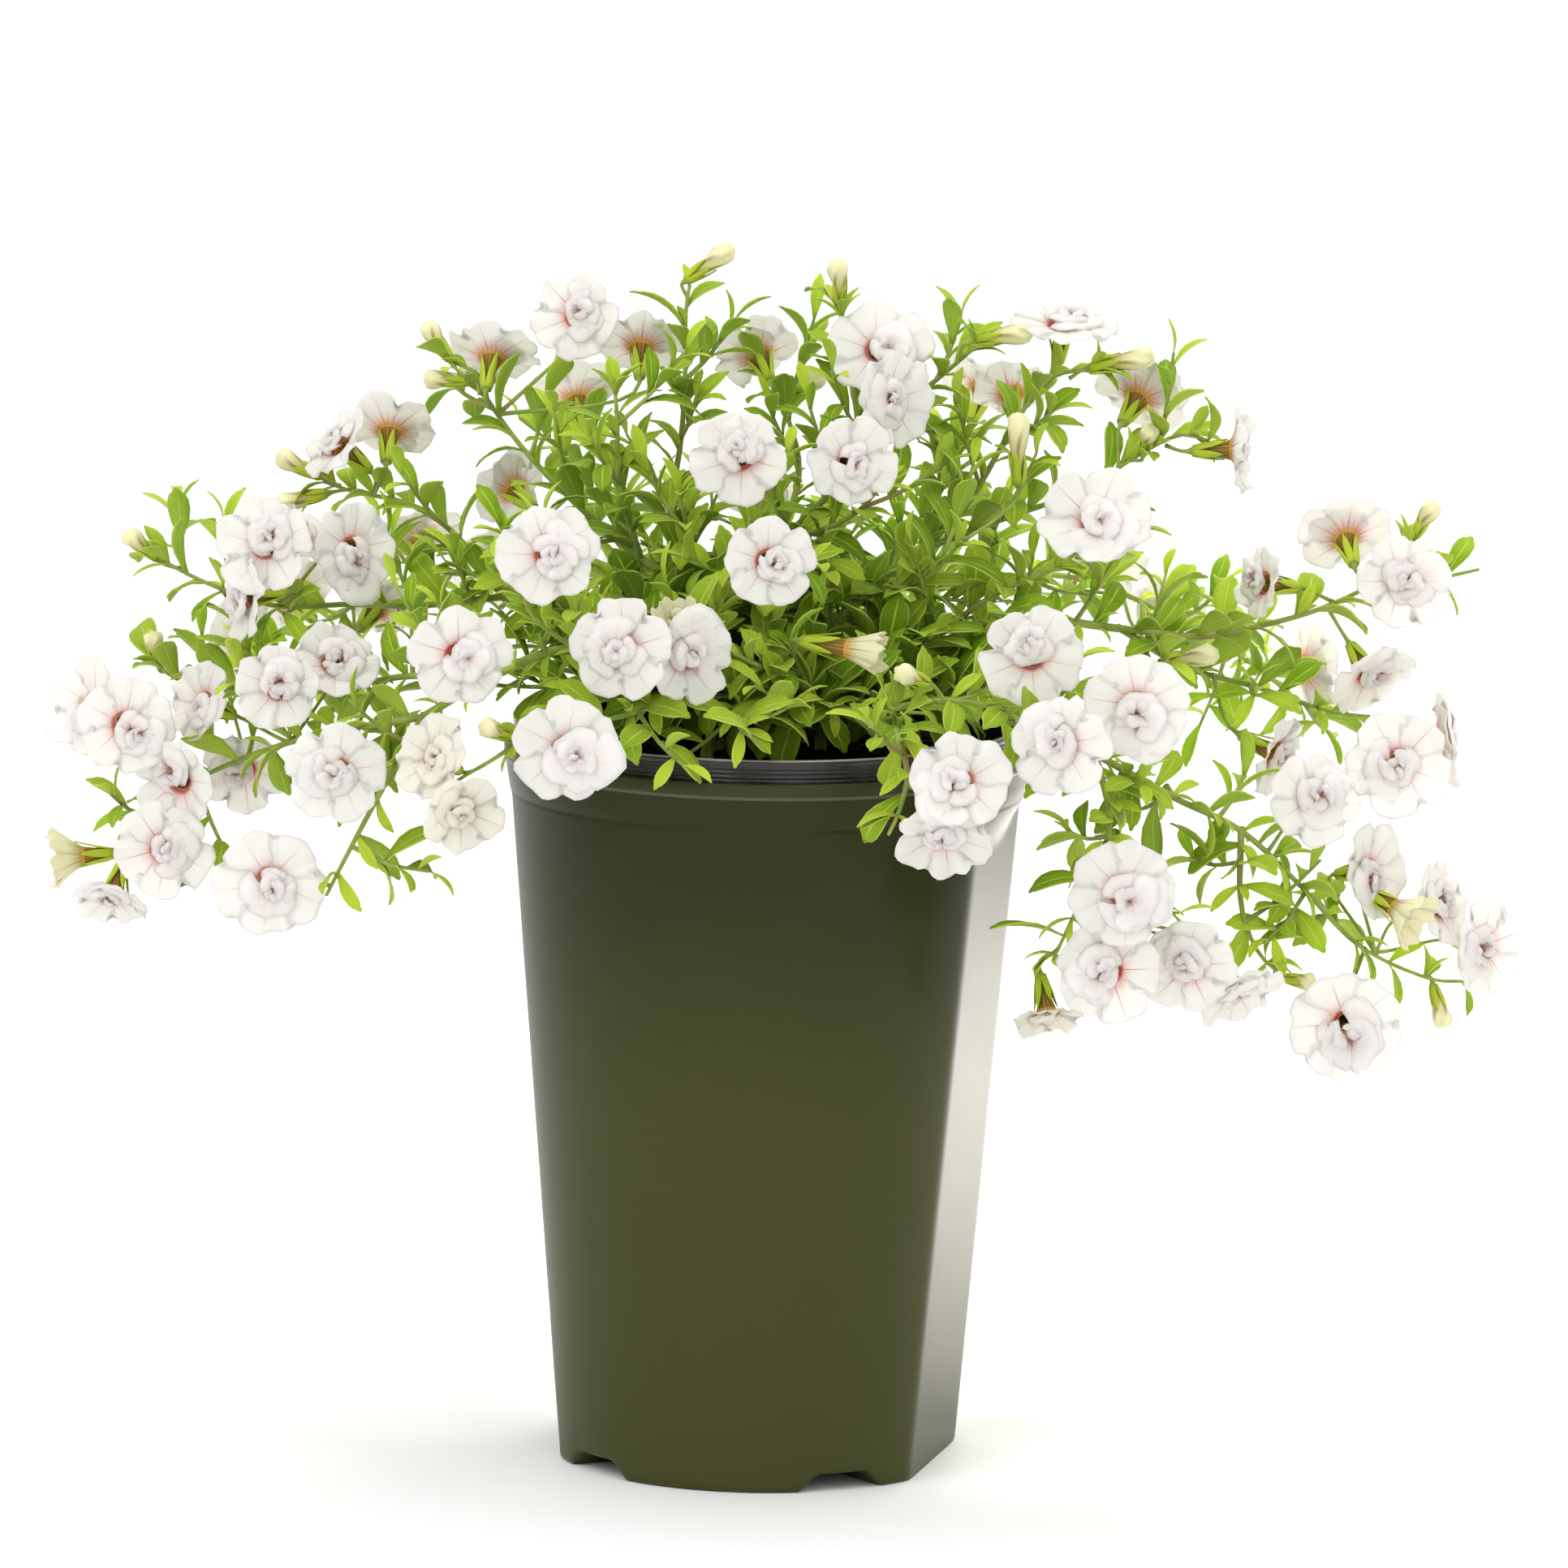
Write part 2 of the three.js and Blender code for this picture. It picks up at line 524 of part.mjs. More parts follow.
// A turned flower of ten sides: its edge has five lobes and five notches, its other rings have
// five corners. `rings` are [radius, height], and the widest one is the edge.
function lobed(rings, cut, ripple, seed) {
  const edge = Math.max(...rings.map(([r]) => r));
  const flower = mapPoints(turned(rings, 10), (p) => {
    const r = Math.hypot(p.x, p.y);
    if (r < 0.1) return;
    const k = (Math.round(Math.atan2(p.y, p.x) / (2 * Math.PI) * 10) + 10) % 10;
    const notch = k % 2 === 0;
    const onEdge = r > edge * 0.8;
    const angle = (onEdge || !notch ? k : k + 1) * Math.PI / 5;
    const wave = onEdge ? ripple * (notch ? -0.3 : 2 * random(seed * 1.7 + k) - 1) : 0;
    const reach = !onEdge ? r : r * (notch ? 1 - cut : 1 + 0.06 * random(seed + k));
    p.set(reach * Math.cos(angle), reach * Math.sin(angle), p.z + wave);
  });
  return welded(flower);
}

// The outer corolla on its tube, and the ruffled inner rosette standing to one side of its throat.
function bloomSolid(bloom, seed) {
  const { foot } = bloom;
  const R = bloom.size / 2;
  const roll = 6.283 * random(seed);
  if (bloom.size < 18) {
    const funnel = lobed([[0, 0], [1.9, 7.5], [R, TUBE + 1.5], [0, TUBE - 5]], 0.18, 0.6, seed);
    return toSolid(placed(funnel, bloom.toward, roll, foot));
  }
  const flower = lobed([
    [0, 0],
    [2.6, 9],
    [R, TUBE],
    [0.3 * R, TUBE - 1.3],
    [0.54 * R, TUBE + 3.2],
    [0, TUBE + 0.8],
  ], 0.13, 1.3, seed);
  mapPoints(flower, (p) => {
    const r = Math.hypot(p.x, p.y);
    if (p.z < TUBE - 2 || r > 0.6 * R) return;
    if (r > 0.4 * R) p.z += 1.6 * random(seed + p.x) - 0.8;
    p.x += 0.2 * R;
  });
  return toSolid(placed(flower, bloom.toward, roll, foot));
}

// The point of a plant's branches, as far along them as `last`, that is nearest to `aim`.
function branchPoint(aim, routes, last) {
  const along = (route) => Math.min(Math.max(route.nearest(aim), 0.08), last);
  const points = routes.slice(1).map((route) => route.at(along(route)));
  return points.sort((a, b) => a.distanceTo(aim) - b.distanceTo(aim))[0];
}

// A stalk that starts as a point at `from`, turns to the bloom's heading at its neck, and widens
// there into the cup of sepals or into a closed bud.
function stalkSolid(profile, sides, foot, toward, from, seed) {
  const stalk = placed(turned([[0, -20], [0.75, -3], ...profile], sides), toward, 6.283 * random(seed), foot);
  const end = foot.clone().addScaledVector(toward, -20);
  const neck = foot.clone().addScaledVector(toward, -3);
  const half = neck.clone().sub(from).normalize().add(toward).normalize();
  const tilt = new THREE.Quaternion().setFromUnitVectors(toward, half);
  return toSolid(mapPoints(stalk, (p) => {
    if (p.distanceTo(end) < 0.01) p.copy(from);
    if (p.distanceTo(neck) < 0.8) p.sub(neck).applyQuaternion(tilt).add(neck);
  }));
}

function calyxSolid(foot, toward, from, seed) {
  const cup = toward.y > 0.2 ? [[4.6, 5], [0, -GAP - 0.3]] : [[3.4, 2.6], [0, -GAP - 0.3]];
  return stalkSolid(cup, toward.y > 0.2 ? 5 : 4, foot, toward, from, seed);
}

function budSolid(foot, toward, length, from, seed) {
  return stalkSolid([[2.3, length * 0.35], [2, length * 0.8], [0, length]], 5, foot, toward, from, seed);
}

// Blooms that share a name grow from one knob beside the stem: stalks, cups and corollas in one.
function spraySolids(blooms, routes, stems) {
  const middle = new THREE.Vector3();
  blooms.forEach((bloom) => middle.addScaledVector(bloom.foot, 1 / blooms.length));
  const point = branchPoint(middle, routes, 1);
  const away = middle.clone().sub(point).normalize();
  const from = point.clone().addScaledVector(away, 4);
  const bead = toSolid(welded(new THREE.OctahedronGeometry(1.05, 0)));
  for (let round = 0; round < 2; round += 1) {
    const clear = Math.min(...stems.map((stem) => bead.translate(from.toArray()).minGap(stem, 6)));
    from.addScaledVector(away, GAP - clear);
  }
  const knob = bead.translate(from.toArray());
  const parts = blooms.flatMap(({ foot, toward, size, seed }) => {
    const sunk = foot.clone().addScaledVector(toward, -1.2);
    return [calyxSolid(foot, toward, from, seed), bloomSolid({ foot: sunk, toward, size }, seed)];
  });
  return [knob, ...parts];
}

// ---- putting the plant together --------------------------------------------------------------------
// Keeps what stands already, so that a new piece can be tested against its neighbours.
class Garden {
  constructor() {
    this.pieces = [];
  }

  add(owner, solid, isLeaf = false) {
    this.pieces.push({ owner, solid, isLeaf, box: solid.boundingBox() });
  }

  near(box) {
    return this.pieces.filter((piece) => [0, 1, 2].every((i) => (
      piece.box.min[i] < box.max[i] + 1 && piece.box.max[i] > box.min[i] - 1)));
  }

  isFree(owner, solid) {
    return this.near(solid.boundingBox()).every((piece) => {
      if (piece.owner === owner && !piece.isLeaf) return true;
      const need = piece.owner === owner ? 0.05 : GAP;
      return piece.solid.minGap(solid, 1) >= need;
    });
  }
}

function growLeaves(name, routes, garden, potSolid) {
  const leaves = [];
  let serial = Object.keys(PLANTS).indexOf(name) * 1000;
  routes.forEach((route, order) => {
    const bare = order === 0 ? STEM.step * 2.2 : 5;
    for (let s = bare; s < route.length; s += LEAF.spacing) {
      serial += 1;
      const u = s / route.length;
      const root = route.at(u);
      const { along, side, front } = route.frame(u);
      const tip = route.length - s < 12 && order > 0;
      const length = LEAF.length * (tip ? 0.62 : 0.85 + 0.35 * random(serial));
      for (let attempt = 0; attempt < 5; attempt += 1) {
        const spin = THREE.MathUtils.degToRad(serial * 137.5 + attempt * 62);
        const lateral = side.clone().multiplyScalar(Math.cos(spin)).addScaledVector(front, Math.sin(spin));
        lateral.z += 0.35;
        const out = lateral.setLength(tip ? 0.6 : 1).addScaledVector(along, 0.55).normalize();
        const face = along.clone().multiplyScalar(0.5).add(new THREE.Vector3(0, 0, 0.7));
        face.addScaledVector(out, -face.dot(out)).normalize();
        const leaf = leafSolid(root, out, face, length);
        const blade = leafSolid(root.clone().addScaledVector(out, 2.5), out, face, length - 2.5);
        if (garden.isFree(name, blade) && potSolid.minGap(leaf, 1) >= GAP) {
          garden.add(name, leaf, true);
          leaves.push(leaf);
          break;
        }
      }
    }
  });
  return leaves;
}

// Fuses the solids of a node into one body.
function fused(name, solids) {
  const bodies = wasm.Manifold.union(solids).simplify(0.01).decompose();
  bodies.sort((a, b) => b.volume() - a.volume());
  if (bodies.length > 1 && bodies[1].volume() > 2) throw new Error(`${name} is in ${bodies.length} pieces`);
  return bodies[0];
}

function buildPlant(potSolid) {
  const garden = new Garden();
  const green = {};
  const white = {};
  for (const [name, plant] of Object.entries(PLANTS)) {
    const routes = plantRoutes(plant);
    const stems = routes.map((route, i) => sweep(route, i === 0 ? 5 : 3));
    green[name] = { routes, solids: [stemFoot(plant.hole), ...stems] };
  }
  const sprays = {};
  BLOOMS.forEach(([name, stem, x, y, z, round, lift, size], i) => {
    const toward = heading(round, lift);
    const foot = new THREE.Vector3(x, y, z).addScaledVector(toward, -TUBE);
    sprays[name] = [...(sprays[name] || []), { stem, foot, toward, size, seed: i + 1 }];
  });
  for (const [name, blooms] of Object.entries(sprays)) {
    const { foot, toward, stem, seed } = blooms[0];
    const { routes, solids } = green[stem];
    if (blooms.length > 1) {
      white[name] = spraySolids(blooms, routes, solids.slice(0, routes.length + 1));
    } else {
      const from = branchPoint(foot.clone().addScaledVector(toward, -12), routes, 0.95);
      solids.push(calyxSolid(foot, toward, from, seed));
      white[name] = [bloomSolid(blooms[0], seed)];
    }
  }
  BUDS.forEach(([stem, x, y, z, round, lift, length], i) => {
    const foot = new THREE.Vector3(x, y, z);
    const toward = heading(round, lift);
    const from = branchPoint(foot.clone().addScaledVector(toward, -8), green[stem].routes, 0.95);
    green[stem].solids.push(budSolid(foot, toward, length, from, i + 200));
  });
  for (const [name, { solids }] of Object.entries(green)) solids.forEach((solid) => garden.add(name, solid));
  for (const [name, solids] of Object.entries(white)) solids.forEach((solid) => garden.add(name, solid));
  const pot = potSolid.rotate([0, 0, -TURN]);
  const nodes = [];
  for (const [name, { routes, solids }] of Object.entries(green)) {
    const leaves = growLeaves(name, routes, garden, pot);
    nodes.push([name, fused(name, [...solids, ...leaves]), leafGreen]);
  }
  for (const [name, solids] of Object.entries(white)) {
    const cream = name.includes("cream") || name.includes("funnel") || name.includes("half_open");
    nodes.push([name, fused(name, solids), cream ? petalCream : petalWhite]);
  }
  return nodes;
}

// ---- materials ---------------------------------------------------------------------------------------
const potGreen = new THREE.MeshStandardMaterial({ color: 0x4a4e31, roughness: 0.42, metalness: 0 });
const peat = new THREE.MeshStandardMaterial({ color: 0x2a211a, roughness: 0.95, metalness: 0 });
const leafGreen = new THREE.MeshStandardMaterial({ color: 0x6d9a2c, roughness: 0.6, metalness: 0 });
const petalWhite = new THREE.MeshStandardMaterial({ color: 0xf2eeee, roughness: 0.65, metalness: 0 });
const petalCream = new THREE.MeshStandardMaterial({ color: 0xf0e8c4, roughness: 0.65, metalness: 0 });

// ---- the whole object -----------------------------------------------------------------------------
const object = new THREE.Group();
const potSolid = buildPot();
object.add(toMesh("pot", potSolid, potGreen));
object.add(toMesh("soil", buildSoil(), peat));
const plant = new THREE.Group();
plant.rotation.z = THREE.MathUtils.degToRad(TURN);
for (const [name, solid, material] of buildPlant(potSolid)) plant.add(toMesh(name, solid, material));
object.add(plant);

export default object;
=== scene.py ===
import bisect
import math

import bmesh
import bpy
from mathutils import Matrix, Vector, kdtree, noise


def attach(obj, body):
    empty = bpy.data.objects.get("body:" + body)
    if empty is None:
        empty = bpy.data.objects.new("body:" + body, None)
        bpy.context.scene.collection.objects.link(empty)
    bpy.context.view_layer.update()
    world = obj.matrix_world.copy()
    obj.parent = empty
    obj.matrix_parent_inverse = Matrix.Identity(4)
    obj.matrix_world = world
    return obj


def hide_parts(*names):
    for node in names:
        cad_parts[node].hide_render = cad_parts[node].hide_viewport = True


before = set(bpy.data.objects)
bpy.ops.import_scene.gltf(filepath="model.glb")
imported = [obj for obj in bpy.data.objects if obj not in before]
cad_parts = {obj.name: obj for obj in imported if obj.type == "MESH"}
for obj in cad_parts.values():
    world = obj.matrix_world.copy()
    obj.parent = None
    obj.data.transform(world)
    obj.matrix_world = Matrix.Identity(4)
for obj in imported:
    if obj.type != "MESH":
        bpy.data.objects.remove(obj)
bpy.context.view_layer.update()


# ---- The pot -------------------------------------------------------------------------------------
# A tall nursery pot moulded in one piece: a cone whose two flat sides fade out under a round band,
# then a lip, and a dark ribbed collar that the green skin stops short of. Four notches in the foot
# let the water out. Meshes are drawn in mm; the heights that its plastics read are in metres.
METRES = Matrix.Scale(0.001, 4)
FOOT, FLARE, BODY = 59, 14.3, 192  # the cone's radius at the ground, what it gains, and over what height
FLAT_FOOT, FLAT_FLARE = 51.4, 17.0  # how far each flat stands from the axis at the ground, and what it gains
WALL = 1.8
LIP_TOP = 206.27  # where the green skin stops
NOTCH_HEIGHT, NOTCH_SLOPE, NOTCH_HALF, NOTCH_TURN = 5.0, 5.0, 7.65, 38.35  # in mm, then in degrees


def cone(z, inset=0):
    return FOOT - inset + FLARE * z / BODY


def soft_least(a, b, blend):
    near = max(blend - abs(a - b), 0) / blend
    return min(a, b) - near * near * blend / 4


def pot_reach(x, y, z, wall):
    """How far from the axis the moulding comes at a point's heading and height."""
    r = math.hypot(x, y)
    if r < 1 or z > BODY + 1:
        return r
    flat = (FLAT_FOOT + FLAT_FLARE * z / BODY - wall) * r / max(abs(x), 1e-6)
    shoulder = FOOT + FLARE - wall - 9 * (BODY - z) / 16 if z > BODY - 20 else 0
    return soft_least(r, -soft_least(-flat, -shoulder, 1.2), 1.1)


def notch_rise(x, y):
    """The height of the foot's underside above the ground at a heading."""
    turn = math.degrees(math.atan2(abs(x), abs(y)))
    return NOTCH_HEIGHT * min(max((NOTCH_HALF + NOTCH_SLOPE - abs(turn - NOTCH_TURN)) / NOTCH_SLOPE, 0), 1)


def turned(bm, chain, steps, merge=0.001):
    """Joins a chain of corners and turns it round the upright axis into a skin."""
    edges = [bm.edges.new(pair) for pair in zip(chain, chain[1:])]
    bmesh.ops.spin(bm, geom=chain + edges, axis=(0, 0, 1), cent=(0, 0, 0), angle=math.tau, steps=steps,
                   use_merge=True)
    bmesh.ops.remove_doubles(bm, verts=bm.verts, dist=merge)


def mould_pot():
    foot = [(0, 0), (20, 0), (38.2, 0), (39.4, 0), (48, 0), (56.6, 0), (58.2, 0.15), (58.8, 0.6), (59.1, 1.4)]
    heights = [2.4, 3.6, 5.2, 7, 9, 12, *range(17, 170, 5), *(169 + 1.6 * i for i in range(15))]
    side = [(cone(z), z) for z in heights]
    band = [(73.36, 192.3), (73.2, 192.7), (73.36, 193.1), (74.0, 197), (74.65, 201.2), (74.75, 201.7)]
    lip = [(75.0, 201.95), (75.1, 202.5), (75.05, 205.4), (74.85, 206.0), (74.3, 206.25), (72.5, 206.3)]
    ribs = [(r, 206.9 + 1.25 * i + dz) for i in range(3)
            for r, dz in ((71.9, 0), (71.9, 0.45), (72.3, 0.62), (72.3, 1.05))]
    edge = [(71.95, 210.8), (72.3, 211.2), (72.45, 211.8), (72.25, 212.4), (71.7, 212.7), (70.9, 212.6),
            (70.4, 212.2), (70.2, 211.4)]
    bore = [(70.2, 206.2), (71.0, 199), (71.5, 192)]
    inside = [(cone(z, WALL), z) for z in range(180, 0, -12)]
    floor = [(57.2, 2.2), (45, 2), (37.6, 2), (36.4, 2), (18, 2), (0, 2)]
    outline = foot + side + band + lip + ribs + edge + bore + inside + floor

    bm = bmesh.new()
    turned(bm, [bm.verts.new((0, -r, z)) for r, z in outline], 240)
    for v in bm.verts:
        x, y, z = v.co
        r = math.hypot(x, y)
        if r < 0.01:
            continue
        within = r < cone(z) - 1 and z > 1.9
        reach = pot_reach(x, y, z, WALL if within else 0)
        rise = notch_rise(x, y)
        if within:
            lift = rise * max(0, 1 - (z - 2) / 12) if r > 37 else 0
        else:
            lift = rise * max(0, 1 - z / 12) if r > 39 else 0
        v.co = (x * reach / r, y * reach / r, z + lift)
    bmesh.ops.recalc_face_normals(bm, faces=bm.faces)
    for face in bm.faces:
        middle = face.calc_center_median()
        inner = middle.xy.length < cone(middle.z) - 14 or face.normal.xy.dot(middle.xy) < -0.2
        face.material_index = 1 if middle.z > LIP_TOP or (inner and middle.z > 1.9) else 0
    bmesh.ops.transform(bm, matrix=METRES, verts=bm.verts)
    return bm


def connect(source, socket):
    """Feeds a socket from a field of nodes, or sets it to a number or a colour."""
    if isinstance(source, Field):
        socket.id_data.links.new(source.socket, socket)
    elif isinstance(source, tuple):
        socket.default_value = (*source, 1)
    else:
        socket.default_value = source


class Field:
    """A number or colour that a material's nodes work out at each point of a surface."""

    def __init__(self, socket):
        self.socket = socket

    def math(self, operation, other=0.0, clamp=False):
        step = self.socket.id_data.nodes.new("ShaderNodeMath")
        step.operation = operation
        step.use_clamp = clamp
        connect(self, step.inputs[0])
        connect(other, step.inputs[1])
        return Field(step.outputs[0])

    def __add__(self, other):
        return self.math("ADD", other)

    def __sub__(self, other):
        return self.math("SUBTRACT", other)

    def __mul__(self, other):
        return self.math("MULTIPLY", other)

    def __abs__(self):
        return self.math("ABSOLUTE")

    def zigzag(self, width):
        """Rises from 0 to a width and falls back, over and over."""
        return self.math("PINGPONG", width)

    def between(self, low, high):
        """0 where the field is at low, 1 where it is at high, smooth in between."""
        step = self.socket.id_data.nodes.new("ShaderNodeMapRange")
        step.interpolation_type = "SMOOTHSTEP"
        connect(self, step.inputs["Value"])
        step.inputs["From Min"].default_value = low
        step.inputs["From Max"].default_value = high
        return Field(step.outputs[0])


class Finish:
    """A material in the making."""

    def __init__(self, name):
        self.material = bpy.data.materials.new(name)
        self.material.use_nodes = True
        self.tree = self.material.node_tree
        self.shader = self.tree.nodes["Principled BSDF"]

    def node(self, kind, feeds=()):
        """Adds a node, and feeds its sockets by their names or numbers."""
        made = self.tree.nodes.new("ShaderNode" + kind)
        for socket, source in dict(feeds).items():
            connect(source, made.inputs[socket])
        return made

    def parts(self, vector):
        return [Field(part) for part in self.node("SeparateXYZ", {0: Field(vector)}).outputs]

    def place(self):
        """The object's own x, y and z, in metres."""
        return self.parts(self.node("TexCoord").outputs["Object"])

    def attribute(self, name):
        """The three measures that a mesh keeps at its corners under a name."""
        stored = self.node("Attribute")
        stored.attribute_name = name
        return self.parts(stored.outputs["Vector"])

    def grain(self, scale, detail=3.0):
        """Noise on the object's own coordinates; scale is in features per metre."""
        place = Field(self.node("TexCoord").outputs["Object"])
        cloud = self.node("TexNoise", {"Vector": place, "Scale": scale, "Detail": detail})
        return Field(cloud.outputs["Fac"])

    def mix(self, share, first, second):
        step = self.node("Mix")
        step.data_type = "RGBA"
        for source, socket in ((share, 0), (first, 6), (second, 7)):
            connect(source, step.inputs[socket])
        return Field(step.outputs[2])

    def relief(self, amount, distance):
        bump = self.node("Bump", {"Height": amount, "Distance": distance, "Strength": 0.6})
        connect(Field(bump.outputs["Normal"]), self.shader.inputs["Normal"])

    def lit_through(self, colour, share):
        """Lets a thin blade pass a share of the light that falls on it on to its other side."""
        thin = self.node("BsdfTranslucent", {"Color": colour})
        both = self.node("MixShader", {0: share, 1: Field(self.shader.outputs[0]), 2: Field(thin.outputs[0])})
        connect(Field(both.outputs[0]), self.tree.nodes["Material Output"].inputs["Surface"])

    def done(self, colour, rough, specular=0.5, others=()):
        connect(colour, self.shader.inputs["Base Color"])
        connect(rough, self.shader.inputs["Roughness"])
        self.shader.inputs["Specular IOR Level"].default_value = specular
        for name, value in dict(others).items():
            self.shader.inputs[name].default_value = value
        return self.material


def pot_green():
    finish = Finish("pot_green_plastic")
    z = finish.place()[2]
    wear = finish.grain(55, 5)
    body = finish.mix(z.between(0.0, 0.13), (0.046, 0.049, 0.0090), (0.045, 0.048, 0.0085))
    body = finish.mix(z.between(0.10, 0.190), body, (0.020, 0.024, 0.0015))
    body = finish.mix(z.between(0.2015, 0.2022), body, (0.034, 0.040, 0.012))
    body = finish.mix(wear.between(0.35, 0.75), body, finish.mix(0.03, body, (0.09, 0.09, 0.05)))
    # painted highlight: a pale line along the lip's lower edge, where it catches the light
    painted_highlight = z.between(0.2014, 0.2019) * z.between(0.2028, 0.2023)
    body = finish.mix(painted_highlight * 0.45, body, (0.16, 0.14, 0.10))
    finish.relief(finish.grain(900, 2), 0.00004)
    return finish.done(body, wear * 0.04 + 0.29, 0.175)


def pot_charcoal():
    finish = Finish("pot_charcoal_plastic")
    dust = finish.grain(140, 4)
    tone = finish.mix(dust.between(0.3, 0.8), (0.011, 0.009, 0.008), (0.030, 0.026, 0.022))
    # painted highlight: a pale line along the collar's top edge, where it catches the light, broken up by the
    # dust noise
    painted_highlight = finish.place()[2].between(0.2121, 0.2125) * dust.between(0.1, 0.5)
    tone = finish.mix(painted_highlight * 0.85, tone, (0.42, 0.36, 0.31))
    finish.relief(finish.grain(1400, 2), 0.00003)
    return finish.done(tone, 0.24)


def as_mesh(bm, name="part"):
    mesh = bpy.data.meshes.new(name)
    bm.to_mesh(mesh)
    bm.free()
    return mesh


def finished(bm, name, materials):
    """Turns a mesh in hand into a piece of the object that rides on its one body."""
    mesh = as_mesh(bm, name)
    mesh.shade_smooth()
    for made in materials:
        mesh.materials.append(made)
    piece = bpy.data.objects.new(name, mesh)
    bpy.context.scene.collection.objects.link(piece)
    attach(piece, "root")
    return piece


pot = finished(mould_pot(), "moulded_pot", [pot_green(), pot_charcoal()])
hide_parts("pot")


# ---- The potting mix -----------------------------------------------------------------------------
# Moist peat with bark crumbs, filled to just under the rim and heaped a little at the crown. Its
# underside follows the pot's floor up over the notches.
MIX_GAP = 2.4  # how far in from the outside of the pot the mix begins
CRUMBS = 620
GOLDEN_ANGLE = 2.399963  # radians round the pot from one crumb to the next


def fill_pot():
    block = [(0, 2.4), (56, 2.4), (56.9, 3)] + [(cone(z, 3.8), z) for z in (30, 90, 150, 176, 190)]
    top = [(69.4 - 3.6 * i, 201 + 4 * math.sin(0.5 * math.pi * i / 19)) for i in range(19)] + [(0, 205)]
    bm = bmesh.new()
    turned(bm, [bm.verts.new((0, -r, z)) for r, z in block + top], 120)
    for v in bm.verts:
        x, y, z = v.co
        r = math.hypot(x, y)
        if r > 0.01 and z < 199:
            reach = pot_reach(x, y, z, MIX_GAP)
            v.co = (x * reach / r, y * reach / r, z)
        if z < 14 and r > 36:
            v.co.z = z + notch_rise(x, y) * (1 - (z - 2) / 12)
        if z > 200.5:
            rough = 1.5 * noise.noise(v.co * 0.16) + 1.0 * noise.noise(v.co * 0.5)
            v.co.z = min(z + rough * min(1, (72 - r) / 6) - 0.8, 206)
    noise.seed_set(1)
    for i in range(CRUMBS):
        a, r = GOLDEN_ANGLE * i, 68 * math.sqrt((i + 0.5) / CRUMBS)
        size = 0.8 + 1.7 * noise.cell(Vector((i, 3.1, 7.7)))
        spot = Vector((r * math.cos(a), r * math.sin(a), 201.5 + 3.4 * math.cos(r / 44)))
        flat = Matrix.Translation(spot) @ Matrix.Diagonal((1.5, 1, 0.7, 1))
        crumb = bmesh.ops.create_icosphere(bm, subdivisions=1, radius=size, matrix=flat)
        for v in crumb["verts"]:
            v.co += 0.4 * size * noise.noise_vector(v.co * 1.3)
    bmesh.ops.recalc_face_normals(bm, faces=bm.faces)
    bmesh.ops.transform(bm, matrix=METRES, verts=bm.verts)
    return bm


def peat():
    finish = Finish("moist_peat")
    clod = finish.grain(420, 6)
    tone = finish.mix(clod.between(0.35, 0.7), (0.008, 0.005, 0.0035), (0.040, 0.026, 0.016))
    tone = finish.mix(finish.grain(1300, 2).between(0.64, 0.72), tone, (0.11, 0.075, 0.045))
    finish.relief(clod, 0.0006)
    return finish.done(tone, 0.95, 0.1)


potting_mix = finished(fill_pot(), "potting_mix", [peat()])
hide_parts("soil")


